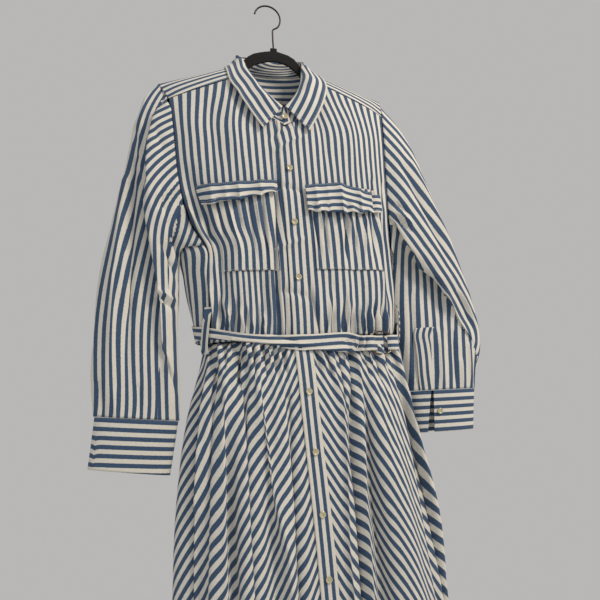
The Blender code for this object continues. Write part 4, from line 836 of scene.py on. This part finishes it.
# %% Creases of the skirt
SKIRT_CREASES = (
    # Long folds that run off the hem.
    (11, -9.0, -131, -592, -140, -700, -153, -803, -168, -980, -190, -1500),
    (8, 5.0, -116, -600, -122, -700, -134, -850, -150, -1500),
    (13, -9.0, -99, -592, -93, -708, -97, -866, -98, -1500),
    (10, 6.0, -77, -600, -65, -735, -58, -800, -44, -900, -40, -1500),
    (8, -9.0, -26, -680, -29, -790, -34, -970, -40, -1500),
    (5, -5.0, -122, -680, -123, -800, -124, -960, -130, -1500),
    (8, 4.5, -162, -740, -178, -860, -190, -980, -215, -1500),
    (6, -5.0, -172, -840, -178, -980, -190, -1500),
    (5, -13.0, 84, -592, 76, -700, 66, -829, 60, -980, 60, -1800),
    (5, 4.0, 95, -600, 87, -720, 77, -829, 72, -980, 73, -1800),
    (5, 4.5, 44, -620, 57, -690, 52, -800, 44, -900, 44, -1500),
    (5, -5.0, 62, -630, 66, -720, 58, -850),
    (32, 6.0, 122, -640, 132, -800, 146, -1000, 160, -1500),
    (6, -9.0, 160, -600, 172, -680, 183, -731, 196, -845, 213, -980, 262, -1500),
    (6, 6.0, 172, -600, 184, -690, 194, -740, 208, -850, 226, -980, 277, -1500),
    (5, -8.0, 186, -600, 197, -700, 206, -760, 221, -860, 240, -990, 297, -1500),
    # Gathers under the waist seam.
    (4, -4.0, -147, -588, -150, -650),
    (4, 3.0, -140, -588, -143, -640),
    (5, -5.0, -131, -588, -136, -660),
    (3, 3.5, -122, -588, -124, -634),
    (3, -4.0, -114, -588, -117, -646),
    (3, 3.0, -106, -588, -107, -630),
    (5, -5.0, -99, -588, -96, -664),
    (3, 3.5, -92, -590, -90, -632),
    (3, -4.0, -86, -590, -84, -648),
    (3, 3.0, -80, -590, -78, -626),
    (3, -4.5, -74, -590, -71, -654),
    (3, 3.5, -67, -592, -64, -634),
    (3, -4.5, -59, -592, -55, -660),
    (3, 3.5, -51, -594, -48, -638),
    (3, -4.0, -43, -594, -40, -656),
    (3, 3.5, -35, -596, -33, -634),
    (3, -4.0, -28, -598, -26, -654),
    (3, -3.0, 24, -602, 27, -650),
    (3, 3.0, 32, -602, 36, -650),
    (3, -4.0, 41, -602, 47, -668),
    (3, 3.0, 50, -604, 54, -646),
    (3, -3.0, 60, -604, 63, -656),
    (3, 3.0, 70, -604, 70, -644),
    (4, -4.0, 104, -606, 108, -672),
    (3, 3.0, 112, -606, 116, -646),
    (4, -5.0, 124, -604, 131, -676),
    (3, 3.5, 134, -602, 140, -646),
    (4, -5.0, 147, -600, 156, -668),
    (3, 3.5, 156, -598, 164, -640),
    (4, -4.0, 167, -596, 176, -656),
)
SKIRT_BACK_CREASES = (
    (14, -10.0, -150, -592, -158, -760, -176, -1000, -200, -1500),
    (12, 7.0, -118, -592, -124, -760, -134, -1000, -150, -1500),
    (14, -11.0, -86, -592, -88, -760, -92, -1000, -100, -1500),
    (12, 7.0, -50, -592, -50, -760, -52, -1000, -56, -1500),
    (13, -10.0, -16, -592, -12, -760, -8, -1000, -4, -1500),
    (12, 7.0, 20, -592, 26, -760, 34, -1000, 40, -1500),
    (14, -11.0, 54, -592, 62, -760, 76, -1000, 92, -1500),
    (12, 7.0, 88, -592, 100, -760, 122, -1000, 150, -1500),
    (14, -10.0, 122, -592, 140, -760, 170, -1000, 205, -1500),
    (10, 6.0, 150, -592, 174, -760, 210, -1000, 250, -1500),
    (4, -4.5, -136, -590, -138, -650),
    (4, 4.0, -104, -590, -106, -640),
    (4, -4.5, -70, -590, -68, -655),
    (4, 4.0, -38, -590, -40, -640),
    (4, -4.5, 4, -590, 6, -650),
    (4, 4.0, 36, -590, 38, -636),
    (4, -4.5, 72, -590, 76, -655),
    (4, 4.0, 106, -590, 112, -640),
    (4, -4.5, 136, -590, 144, -650),
)
print("skirt creases", len(SKIRT_CREASES), "in front,", len(SKIRT_BACK_CREASES), "behind")

# %% Skirt
BIAS = {"right": math.radians(59), "left": math.radians(62)}
SKIRT_REPEAT = {"right": 0.86, "left": 0.92}    # the gathers close its stripes up


def bias_stripes(points, side):
    """Stripes on the bias, measured from the placket outwards and from the waist down."""
    over = lengths(points, 1)
    if side == "right":
        over = over[:, -1:] - over
    made = over * math.sin(BIAS[side]) + (points[:, :, 2] - WAIST) * math.cos(BIAS[side])
    return made / SKIRT_REPEAT[side]


for side in ("right", "left"):
    points = panel_table(f"skirt_front_{side}", 0.0062, 0.0017, from_top=True)
    add_panel(f"skirt_front_{side}", points, bias_stripes(points, side), SKIRT_CREASES,
              sewn="hem", bottom=HEM_SEAM)
points = panel_table("skirt_back", 0.0090, 0.0030, from_top=True)
add_panel("skirt_back", points, bias_stripes(points, "left"), SKIRT_BACK_CREASES,
          sewn="hem", bottom=HEM_SEAM)
points = panel_table("placket_skirt", 0.006, 0.002, from_top=True)
add_panel("placket_skirt", points, lengths(points, 1) - PLACKET_HALF, (), DOUBLE_CLOTH,
          "placket", left=EDGE_SEAM, right=EDGE_SEAM)

# %% [markdown]
# ## Sleeves
#
# A sleeve is a flattened tube that folds over itself at the front: one part of it lies over
# the other, with a sharp edge and a shadow under it. The table of points only has a step
# there, so the foot of the step is pushed in under the upper layer. The two layers' stripes
# run their own ways, so the stripes are split at the foot of the step.

# %% Creases of the sleeves
SLEEVE_CREASES = {
    "right": (
        (5, -3.5, -168, -372, -188, -441, -193, -512),
        (6, -3.0, -200, -380, -182, -362, -165, -344),
        (5, 3.0, -196, -362, -180, -348, -166, -334),
        (4, 3.5, -210, -506, -193, -516, -176, -524),
        (4, -3.5, -210, -518, -193, -529, -178, -536),
        (4, -3.0, -206, -590, -192, -636, -184, -668),
        (4, 3.0, -200, -598, -188, -640),
        (5, -3.0, -200, -440, -184, -470, -176, -500),
        (9, -4.0, -232, -250, -240, -420, -256, -600, -258, -700),
        (9, 4.0, -250, -330, -272, -480, -284, -690),
        (6, 2.5, -256, -445, -262, -540),
        (6, -2.5, -246, -470, -252, -560),
        (5, -2.0, -296, -640, -290, -700),
        (5, 2.0, -276, -650, -274, -700),
        (5, -2.0, -240, -650, -240, -700),
        (9, -2.5, -205, -250, -190, -300),
    ),
    "left": (
        (9, -3.0, 215, -300, 262, -400, 310, -500),
        (9, 3.0, 236, -290, 288, -400, 332, -495),
        (5, -4.0, 196, -392, 226, -420),
        (5, 4.0, 196, -378, 230, -404),
        (4, -3.0, 197, -365, 224, -386),
        (5, -2.5, 306, -520, 328, -548, 350, -592),
        (5, 2.5, 316, -518, 338, -546, 358, -588),
        (5, -3.0, 346, -630, 340, -700),
        (5, 3.0, 332, -610, 330, -700),
        (7, -3.0, 226, -520, 224, -700),
        (8, 3.0, 272, -590, 268, -700),
        (6, -3.0, 300, -590, 296, -700),
        (5, 2.0, 314, -640, 310, -700),
    ),
}
SLEEVE_BACK_CREASES = {
    "right": (
        (7, -4.0, -205, -330, -232, -380),
        (7, 4.0, -200, -350, -230, -405),
        (6, -4.0, -190, -500, -250, -520),
        (6, 4.0, -190, -516, -246, -540),
        (9, -4.0, -250, -400, -262, -560, -264, -700),
        (8, 3.0, -222, -560, -226, -700),
    ),
    "left": (
        (7, -4.0, 210, -350, 250, -420),
        (7, 4.0, 220, -345, 262, -415),
        (6, -4.5, 250, -560, 340, -548),
        (6, 4.5, 256, -576, 344, -568),
        (9, -4.0, 290, -450, 318, -560, 312, -700),
        (8, 3.0, 262, -560, 262, -700),
    ),
}
print("sleeve creases", {side: len(rows) for side, rows in SLEEVE_CREASES.items()})

# %% Folds of the sleeves
OUTER = {"right": -1, "left": 1}    # the way in X of each sleeve's outer edge
FRONT_CELLS = slice(3, 10)          # where a sleeve's front can hold its folded step
STEP = 0.0060                       # a cell that steps back by this much is a fold
FOLD_FOOT = {"right": 0.007, "left": -0.009}
ELBOW_LIP = 0.006                   # how far the fold past the left elbow stands up


def from_underarm(table, side):
    """Turn a sleeve's columns so that they start at the underarm and cross the front first."""
    low = table[len(table) // 2:]
    first = int(np.argmin((low[:, :, 0] * OUTER[side]).mean(0)))
    table = np.roll(table, -first, axis=1)
    middle = table[len(table) // 2]
    if middle[2, 1] > middle[-2, 1]:
        table = np.concatenate([table[:, :1], table[:, :0:-1]], 1)
    return table


def fold_line(table, kept, rows):
    """For each fine row, the column in the middle of the fold's step, and its strength."""
    depth = np.abs(np.diff(table[:, :, 1], axis=1))[:, FRONT_CELLS]
    cell = depth.argmax(1)
    strong = depth.max(1)
    for i in range(1, len(cell)):
        if strong[i] < STEP:
            cell[i] = cell[i - 1]
    at = np.interp(cell + FRONT_CELLS.start + 0.5, np.arange(len(kept[1])), kept[1])
    every = np.arange(rows)
    return (np.interp(every, kept[0], at),
            smooth_step(np.interp(every, kept[0], strong), STEP * 0.6, STEP * 1.6))


def past_the_elbow(points, step_at, strength, edge):
    """Under the left sleeve's last step its fold runs on to the outer edge. The columns in
    its middle and its strength are set here, and what comes back is how far it stands up."""
    z = points[:, 0, 2]
    fold_x = np.interp(-z, (0.530, 0.548, 0.590, 0.640), (0.290, 0.305, 0.334, 0.362))
    fade = 1 - smooth_step(-z, 0.585, 0.630)
    for row in np.nonzero(z < -0.530)[0]:
        front = points[row, :edge[row], 0]
        step_at[row] = np.interp(fold_x[row], front, np.arange(len(front)))
        strength[row] = fade[row]
    return ELBOW_LIP * fade * smooth_step(-z, 0.515, 0.540)


# %% Stripes of the sleeves
SLEEVE_REPEAT = {"right": 0.97, "left": 1.28}    # how far each sleeve's stripes spread


def right_sleeve_stripes(x, z):
    """The front layer's stripes turn about a point inside the chest, because the cap is
    pulled down from the shoulder. Below the underarm they meet in a V, then hang upright."""
    pivot_x, pivot_z = -0.065, -0.440
    arcs = np.hypot(x - pivot_x, np.maximum(z - pivot_z, 0))
    line_x = np.interp(-z, (0.375, 0.441, 0.512, 0.700), (-0.172, -0.188, -0.193, -0.193))
    at_line = np.hypot(line_x - pivot_x, np.maximum(z - pivot_z, 0))
    mirrored = (x > line_x) & (z < -0.375)
    return np.where(mirrored, 2 * at_line - arcs, arcs)


def left_sleeve_stripes(x, z):
    """The lower arm's stripes hang upright."""
    return x - 0.06 * (z + 0.560)


def upper_arm_stripes(x, z, lower):
    """The upper arm's slant towards the elbow, and turn upright below it."""
    slant = math.radians(54)
    elbow_x, elbow_z = 0.345, -0.560
    upper = (x - elbow_x) * math.sin(slant) + (z - elbow_z) * math.cos(slant) + elbow_x
    turn = smooth_step(-z, 0.560, 0.650)
    return upper * (1 - turn) + lower * turn


def outer_line(points, edge):
    """The sleeve's outer edge as a smooth curve, so that the stripes that follow it run
    straight down."""
    spots = points[np.arange(len(points)), edge]
    return np.polynomial.Polynomial.fit(spots[:, 2], spots[:, 0], 5)


def sleeve_stripes(points, side, edge, edge_over):
    """The stripes' places on the layer from the underarm and on the layer to the edge."""
    x, z = points[:, :, 0], points[:, :, 2]
    if side == "right":
        inner = right_sleeve_stripes(x, z)
        outer = x - outer_line(points, edge)(z)
    else:
        inner = left_sleeve_stripes(x, z)
        outer = upper_arm_stripes(x, z, inner)
    # Behind the outer edge the stripes go on from it by length of cloth.
    at_edge = outer[np.arange(len(points)), edge][:, None]
    outer = np.where(edge_over > 0, at_edge - edge_over, outer)
    return inner / SLEEVE_REPEAT[side], outer / SLEEVE_REPEAT[side]


# %% Shape of the sleeves
OVERHANG_REACH = 0.012
# Where the cloth near a step shifts, by its way from the step, and how far to the left.
OVERHANG = {"right": ((0.006, 0.012), (-0.008, -0.006)),
            "left": ((-0.008, 0.006), (0.008, -0.014))}
EDGE_CALM = (0.004, 0.020)      # the shift grows over this way from the outer edge
LIP_AT, LIP_REACH = 0.006, 0.010


def fold_over(points, side, strength, lip, from_step, edge_over):
    """Pull the upper layer out over the step and push the lower one in under it."""
    off_edge = smooth_step(np.abs(edge_over), *EDGE_CALM)
    points[:, :, 0] += off_edge * strength[:, None] * sum(
        shift * np.exp(-((from_step - place) / OVERHANG_REACH) ** 2)
        for place, shift in OVERHANG[side])
    points[:, :, 1] -= np.expand_dims(lip, -1) * np.exp(
        -((from_step - LIP_AT) / LIP_REACH) ** 2)


def creased_sleeve(points, normals, side):
    """A sleeve with its creases in front, and then those behind."""
    if np.sum(normals * (points - points.mean(1, keepdims=True))) < 0:
        normals = -normals
    front = smooth_step(-normals[:, :, 1], -0.1, 0.5)
    shaped = pressed(points, normals, SLEEVE_CREASES[side], front)
    back = smooth_step(normals[:, :, 1], 0.1, 0.6)
    shaped = pressed(shaped, normals, SLEEVE_BACK_CREASES[side], back, swell=0)
    shaped[:, -1] = shaped[:, 0]
    return shaped


# %% Sleeves
for side in ("right", "left"):
    bm = skin_of(f"sleeve_{side}", tube=True)
    table = from_underarm(table_of(bm, closed=True), side)
    bm.free()
    kept = []
    points = finer(table, 0.0036, 0.0022, closed=True, kept=kept)
    edge = np.argmax(points[:, :, 0] * OUTER[side], axis=1)
    over = lengths(points, 1)
    edge_over = over - over[np.arange(len(points)), edge][:, None]
    step_at, strength = fold_line(table, kept, len(points))
    lip = 0 if side == "right" else past_the_elbow(points, step_at, strength, edge)
    step_over = np.array([np.interp(at, np.arange(over.shape[1]), row)
                          for at, row in zip(step_at, over)])
    from_step = over - step_over[:, None]
    along = lengths(points, 0)
    normals = normals_of(points, closed=True)
    fold_over(points, side, strength, lip, from_step, edge_over)
    # The foot of the step lies on the outer layer on one side, on the inner on the other.
    split = np.array([np.searchsorted(row, FOLD_FOOT[side]) for row in from_step])
    inner_part, outer_part = sleeve_stripes(points, side, edge, edge_over)

    def from_sleeve(centre, middle=points.mean(1)):
        nearest = middle[np.argmin(np.abs(middle[:, 2] - centre.z))]
        return centre.x - nearest[0], centre.y - nearest[1], 0.0

    sheet(f"sleeve_{side}", creased_sleeve(points, normals, side), inner_part, along,
          from_sleeve, closed=True, split_at=split, across_after=outer_part)
    points = panel_table(f"sleeve_placket_{side}", 0.003, 0.002, reach=0.008)
    add_panel(f"sleeve_placket_{side}", points, lengths(points, 1), (), DOUBLE_CLOTH,
              "sleeve_plackets", left=NARROW_SEAM, right=NARROW_SEAM, top=NARROW_SEAM)
    print("sleeve", side, "columns", over.shape[1], "split", split.min(), split.max())

# %% [markdown]
# ## Yoke
#
# The yoke lies over both shoulders. Its rows run across the dress, and the neck hole is
# left out of the front ones.

# %% Rows of the yoke
YOKE_PARTS = 8      # each cell of the wall is divided into this many


def yoke_table():
    """The yoke's rows from the front seam over the ridge to the back seam. Missing points
    of the neck hole are set in line with the rows behind, and cut away later."""
    bm = skin_of("yoke")
    edge = [v for v in bm.verts if v.is_boundary]
    low = min(v.co.z for v in edge)
    rows = rows_from(sorted((v for v in edge if v.co.z < low + 0.005), key=lambda v: v.co.x),
                     lambda before, group: sorted(group, key=lambda v: v.co.x))
    full = len(rows[0])
    made = []
    for row in rows:
        line = points_of([row])[0]
        if len(row) < full:
            half = len(row) // 2
            gap = 2 * made[-1] - made[-2]
            gap[:half] = line[:half]
            gap[full - half:] = line[half:]
            line = gap
        made.append(line)
    bm.free()
    return np.array(made[::-1]), len(rows[-1]) // 2, sum(len(r) < full for r in rows)


def divided(stations):
    """Stations with each cell divided into equal parts."""
    count = len(stations)
    return np.interp(np.arange((count - 1) * YOKE_PARTS + 1) / YOKE_PARTS,
                     np.arange(count), stations)


# %% Yoke
table, side_points, front_rows = yoke_table()
down = mean_stations(table)
over = mean_stations(table.transpose(1, 0, 2))
points = smooth_both(table, down, divided(down), over, divided(over))
first_cut = (side_points - 1) * YOKE_PARTS
last_cut = (table.shape[1] - side_points) * YOKE_PARTS


def neck_hole(row, column):
    return (row < front_rows * YOKE_PARTS) & (column >= first_cut) & (column < last_cut)


along_shoulder = lengths(points, 0) - lengths(points, 0)[front_rows * YOKE_PARTS]
sheet("yoke", points, np.abs(along_shoulder), lengths(points, 1),
      lambda centre: (centre.x * 0.3, centre.y, 0.03), cut=neck_hole)
normals = normals_of(points)
if normals[:, :, 2].sum() < 0:
    normals = -normals
front = inset_line(points, "top", EDGE_SEAM)
for half in (slice(0, first_cut - 2), slice(last_cut + 3, None)):
    sew("yoke", front[half], normals[0][half])
sew("yoke", inset_line(points, "bottom", EDGE_SEAM), normals[-1])
print("yoke rows", table.shape, side_points, front_rows)

# %% [markdown]
# ## Collar
#
# A shirt collar is a stand round the neck and a leaf that folds down over it. Both are cut
# along the warp, so the stripes run the leaf's long way, from one point round to the other.
# A narrow wall like this is read from its four corners.

# %% Collar
COLLAR_REPEAT = 0.84     # pulled slightly on the bias, so its stripes lie further apart


def strip_table(node, long_cells, short_cells):
    """The points of a narrow wall, in rows along its long way."""
    bm = skin_of(node)
    line = [next(v for v in bm.verts if v.is_boundary)]
    while True:
        onward = [e.other_vert(line[-1]) for e in line[-1].link_edges if e.is_boundary]
        onward = [v for v in onward if v not in line[-2:]]
        if not onward or onward[0] is line[0]:
            break
        line.append(onward[0])
    spots = points_of([line])[0]
    before = spots - np.roll(spots, 1, axis=0)
    after = np.roll(spots, -1, axis=0) - spots
    bend = 1 - np.sum(before * after, 1) / (np.linalg.norm(before, axis=1)
                                            * np.linalg.norm(after, axis=1))
    count = len(line)
    corners = (0, long_cells, long_cells + short_cells, 2 * long_cells + short_cells)
    first = max(range(count), key=lambda k: sum(bend[(k + c) % count] for c in corners))
    points = points_of(rows_from([line[(first + i) % count] for i in range(long_cells + 1)]))
    bm.free()
    return left_to_right(points)


for name, long_cells, short_cells in (("collar_stand", 39, 2), ("collar_leaf", 36, 4)):
    table = strip_table(name, long_cells, short_cells)
    if lengths(table[:1], 1)[0, -1] < lengths(table[-1:], 1)[0, -1]:
        table = table[::-1]
    points = finer(table, 0.002, 0.002)
    sewn_edges = ("top", "left", "right") if name == "collar_leaf" else ()
    insets = dict.fromkeys(sewn_edges, WIDE_SEAM)
    add_panel(name, points, lengths(points, 0) * COLLAR_REPEAT, (), DOUBLE_CLOTH, "collar",
              **insets)
    print(name, table.shape)

# %% [markdown]
# ## Bands: cuffs, belt and loops
#
# Narrow bands are read as they are and made finer by subdivision. Their stripes run along
# them, so what the UV map needs is how far each point lies from the band's upper edge. The
# belt is crushed where it is drawn through its rings.

# %% Creases of the belt
BELT_CREASES = (
    # Crushed where it is drawn round the rings' inner bar.
    (3, -2.6, 72, -604, 84, -596, 88, -586),
    (3, 3.0, 78, -612, 90, -602, 94, -588),
    (3, -3.4, 88, -616, 97, -604, 99, -590),
    (3, 3.4, 95, -616, 103, -603, 104, -590),
    (3, -3.0, 103, -616, 109, -602, 108, -590),
    # It was twisted once on its way, which left a fold from edge to edge.
    (3, 2.6, -104, -588, -50, -596, 10, -602, 56, -604),
    (3, -3.2, -100, -591, -48, -600, 12, -607, 58, -609),
    (3, 1.8, 90, -612, 40, -611, -10, -608),
    (4, -1.8, -60, -584, -110, -578, -150, -573),
    (3, 1.6, -40, -590, -90, -584, -140, -578),
    (4, -2.0, -8, -596, -50, -582),
)
print("belt creases", len(BELT_CREASES))

# %% How far a point lies from a band's upper edge
UPWARDS = 0.4               # an edge that looks up by more than this bounds a band's top


def upper_edges(bm):
    """The two ends of each edge along a band's top."""
    found = []
    for edge in bm.edges:
        if edge.is_boundary:
            a, b = (v.co.copy() for v in edge.verts)
            away = (a + b) / 2 - edge.link_faces[0].calc_center_median()
            if away.normalized().z > UPWARDS:
                found.append((a, b))
    return found


def distance(spot, edges):
    """How far a spot lies from the nearest of some edges."""
    best = 1.0
    for a, b in edges:
        way = b - a
        t = max(0, min(1, (spot - a).dot(way) / max(way.length_squared, 1e-12)))
        best = min(best, (spot - a - way * t).length)
    return best


# %% Bands
CUFF_REPEAT = 0.89          # six repeats in a cuff's height
BAND_LEVELS = 3
BAND_SWELL = 0.0004


def band_piece(node, table=(), tube=False, first=0.0, repeat=1.0):
    """A copy of a narrow wall's outer skin, made finer by subdivision."""
    bm = skin_of(node, tube=tube)
    bmesh.ops.join_triangles(bm, faces=bm.faces[:], angle_face_threshold=math.pi,
                             angle_shape_threshold=math.pi)
    upper = upper_edges(bm)
    cloth = bm.loops.layers.uv.new("cloth")
    for vertex in bm.verts:
        far = distance(vertex.co, upper)
        for loop in vertex.link_loops:
            loop[cloth].uv = (far * repeat + first, vertex.co.x + vertex.co.y)
    rough = object_from(f"{node}_rough", mesh_from(bm, node))
    fine = rough.modifiers.new("finer", "SUBSURF")
    fine.levels = fine.render_levels = BAND_LEVELS
    fine.boundary_smooth = "PRESERVE_CORNERS"
    mesh = settled(rough)
    bpy.data.objects.remove(rough)
    mesh.name = node
    spots = np.empty(len(mesh.vertices) * 3)
    mesh.vertices.foreach_get("co", spots)
    normals = np.empty(len(mesh.vertices) * 3)
    mesh.vertex_normals.foreach_get("vector", normals)
    shaped = pressed(spots.reshape(-1, 1, 3), normals.reshape(-1, 1, 3), table,
                     swell=BAND_SWELL)
    mesh.vertices.foreach_set("co", shaped.ravel())
    finish_cloth(node, mesh, DOUBLE_CLOTH)
    print(node, "faces", len(mesh.polygons))


band_piece("belt", BELT_CREASES)
for side in ("right", "left"):
    band_piece(f"belt_loop_{side}")
for side in ("right", "left"):
    band_piece(f"cuff_{side}", tube=True, first=STRIPE_REPEAT / 4, repeat=CUFF_REPEAT)

# %% [markdown]
# ## Buttons
#
# A shell button is a small turned disc with a rim and four holes, sewn on with a cross of
# thread. One is turned from a profile and drilled. The others are copies, each turned to
# face the way its own place in the dress faces.

# %% One button, drilled
# Radius and height along its outside, from its top to its bottom.
BUTTON_PROFILE = ((0.0, 0.0016), (0.0026, 0.0016), (0.0034, 0.0021), (0.0043, 0.0024),
                  (0.0049, 0.0021), (0.0051, 0.0014), (0.0047, 0.0005), (0.0038, 0.0),
                  (0.0, 0.0))
BUTTON_STEPS = 28
HOLE_OFFSET = 0.00095
HOLE_RADIUS = 0.00048
HOLE_PLACES = [(a * HOLE_OFFSET, b * HOLE_OFFSET) for a in (-1, 1) for b in (-1, 1)]

bm = bmesh.new()
line = [bm.verts.new((radius, 0, height)) for radius, height in BUTTON_PROFILE]
for a, b in zip(line, line[1:]):
    bm.edges.new((a, b))
bmesh.ops.spin(bm, geom=bm.verts[:] + bm.edges[:], axis=(0, 0, 1), cent=(0, 0, 0),
               steps=BUTTON_STEPS, angle=math.tau, use_merge=True)
bmesh.ops.remove_doubles(bm, verts=bm.verts, dist=MERGE)
bmesh.ops.recalc_face_normals(bm, faces=bm.faces)
blank = object_from("button_blank", mesh_from(bm, "button_blank"))
bm = bmesh.new()
for x, y in HOLE_PLACES:
    bmesh.ops.create_cone(bm, cap_ends=True, segments=10, radius1=HOLE_RADIUS,
                          radius2=HOLE_RADIUS, depth=0.006,
                          matrix=Matrix.Translation((x, y, 0.001)))
drills = object_from("drills", mesh_from(bm, "drills"))
holes = blank.modifiers.new("holes", "BOOLEAN")
holes.operation = "DIFFERENCE"
holes.object = drills
drilled = settled(blank)
for piece in (blank, drills):
    bpy.data.objects.remove(piece)
print("button faces", len(drilled.polygons))

# %% All the buttons
BUTTON_HALF = 0.0011        # half the thickness of a button's solid
THREAD_HEIGHT = 0.0017      # over the button's back
CROSS_PITCH = 0.0027
CROSS_LENGTH = 0.0028


def face_of(node):
    """The turn and place of a button's solid: its thin way is Z, and it looks forward."""
    spots = points_of([NODES[node].data.vertices])[0]
    spots = np.unique(spots.round(6), axis=0)
    centre = spots.mean(0)
    thin = np.linalg.svd(spots - centre)[2][2]
    if thin[1] > 0:
        thin = -thin
    thin = Vector(thin)
    over = Vector((1, 0, 0)) - thin * thin.x
    over.normalize()
    turn = Matrix((over, thin.cross(over), thin)).transposed().to_4x4()
    return Matrix.Translation(centre - np.array(thin) * BUTTON_HALF) @ turn


buttons = sorted(node for node in NODES if node.startswith("button"))
for node in buttons:
    place = face_of(node)
    mesh = drilled.copy()
    mesh.name = node
    mesh.transform(place)
    mesh.materials.clear()
    made = piece_from(node, mesh, shell)
    mesh.set_sharp_from_angle(angle=math.radians(40))
    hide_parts(node)
    up = np.array([list(place.to_3x3() @ Vector((0, 0, 1)))] * 2)
    for ends in ((0, 3), (1, 2)):
        line = np.array([list(place @ Vector((*HOLE_PLACES[end], THREAD_HEIGHT)))
                         for end in ends])
        sew("button_thread", line, up, pitch=CROSS_PITCH, size=CROSS_LENGTH)
print("buttons", len(buttons))

# %% [markdown]
# ## Label, rings, hook and hanger
#
# The label is a folded tape, sewn in at its two short ends. It is left blank. The rings, the
# hook and the hanger keep the shape of their solids, with softer edges.

# %% Label
LABEL_WALL = 0.0010     # the thickness of the label's solid
LABEL_TAPE = 0.0006     # and of the tape that takes its place
LABEL_SEAM = 0.0012
points = panel_table("neck_label", 0.002, 0.002, wall=LABEL_WALL, inside=True)
sheet("neck_label", points, lengths(points, 1), lengths(points, 0),
      lambda centre: (0, -1, 0), LABEL_TAPE, finish=label_cloth)
normals = outward_normals(points) * -1
for end, column in (("left", 0), ("right", -1)):
    sew("label", inset_line(points, end, LABEL_SEAM), normals[:, column])
print("label's rows and columns", points.shape[:2])

# %% Hard pieces


def hard_copy(name, finish, levels=0, bevel=0.0):
    """A smooth copy of a solid, with soft edges or made finer by subdivision."""
    bm = bmesh.new()
    bm.from_mesh(NODES[name].data)
    bmesh.ops.remove_doubles(bm, verts=bm.verts, dist=MERGE)
    mesh = mesh_from(bm, name)
    made = piece_from(name, mesh, finish)
    if bevel:
        mesh.set_sharp_from_angle(angle=math.radians(30))
        soft = made.modifiers.new("edges", "BEVEL")
        soft.width = bevel
        soft.segments = 3
        soft.limit_method = "ANGLE"
    if levels:
        fine = made.modifiers.new("finer", "SUBSURF")
        fine.levels = fine.render_levels = levels
    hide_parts(name)


hard_copy("hanger", flock, bevel=0.0016)
hard_copy("hanger_hook", hook_metal, levels=2)
for ring in ("belt_ring_inner", "belt_ring_outer"):
    hard_copy(ring, ring_metal, levels=1)

# %% The rows of stitches as meshes
for part, bm in SEAMS.items():
    made = piece_from(f"stitches_{part}", mesh_from(bm, f"stitches_{part}"), thread)
    print("stitches", part, len(made.data.polygons) // STITCH_FACES)

# %% [markdown]
# ## Floor, light and camera
#
# The dress hangs over a plain pale floor. A pale world and a large lamp at each side give
# soft light. The camera stands low at the viewer's left and looks up a little.

# %% Floor and world
scene = bpy.context.scene
scene.view_settings.view_transform = "Standard"
FLOOR = -2.00
bm = bmesh.new()
bmesh.ops.create_grid(bm, x_segments=1, y_segments=1, size=1.7)
bmesh.ops.translate(bm, verts=bm.verts, vec=(0, 0, FLOOR))
floor = object_from("floor", mesh_from(bm, "floor"))
floor.data.materials.append(
    start_material("matt_pale_floor", base_color=linear("e8e6e2"), roughness=0.9)[0])

world = bpy.data.worlds.new("studio")
scene.world = world
world.use_nodes = True
sky = world.node_tree.nodes["Background"]
sky.inputs["Color"].default_value = linear("f2f1ef")
sky.inputs["Strength"].default_value = 0.54
print("floor at", FLOOR, "m")

# %% Lights


def area_light(name, place, aim, size, power, colour):
    """A square lamp that looks at a place. Its power is in watts."""
    data = bpy.data.lights.new(name, "AREA")
    data.size = size
    data.energy = power
    data.color = linear(colour)[:3]
    lamp = object_from(name, data)
    lamp.location = place
    lamp.rotation_euler = (Vector(aim) - Vector(place)).to_track_quat("-Z", "Y").to_euler()
    print(name, "light,", power, "W")


area_light("key", (1.3, -1.5, 1.0), (0, 0, -0.55), 0.7, 38, "fff4e6")
area_light("fill", (-2.0, -1.6, 0.2), (0, 0, -0.6), 1.8, 3, "f2f6ff")

# %% Camera
YAW = math.radians(17.88)
PITCH = math.radians(8.23)
ROLL = math.radians(4.06)
PLACE = Vector((-0.2885, -0.9638, -0.6694))
forward = Vector((math.sin(YAW) * math.cos(PITCH), math.cos(YAW) * math.cos(PITCH),
                  math.sin(PITCH)))
level_right = Vector((math.cos(YAW), -math.sin(YAW), 0))
down = forward.cross(level_right)
right = level_right * math.cos(ROLL) + down * math.sin(ROLL)
up = level_right * math.sin(ROLL) - down * math.cos(ROLL)
data = bpy.data.cameras.new("camera")
data.lens = 37.2
data.sensor_width = 36
data.clip_start = 0.02
camera = object_from("camera", data)
turn = Matrix((right, up, -forward)).transposed().to_4x4()
camera.matrix_world = Matrix.Translation(PLACE) @ turn
scene.camera = camera
print("camera", round(data.lens, 1), "mm, at", [round(v, 2) for v in PLACE])
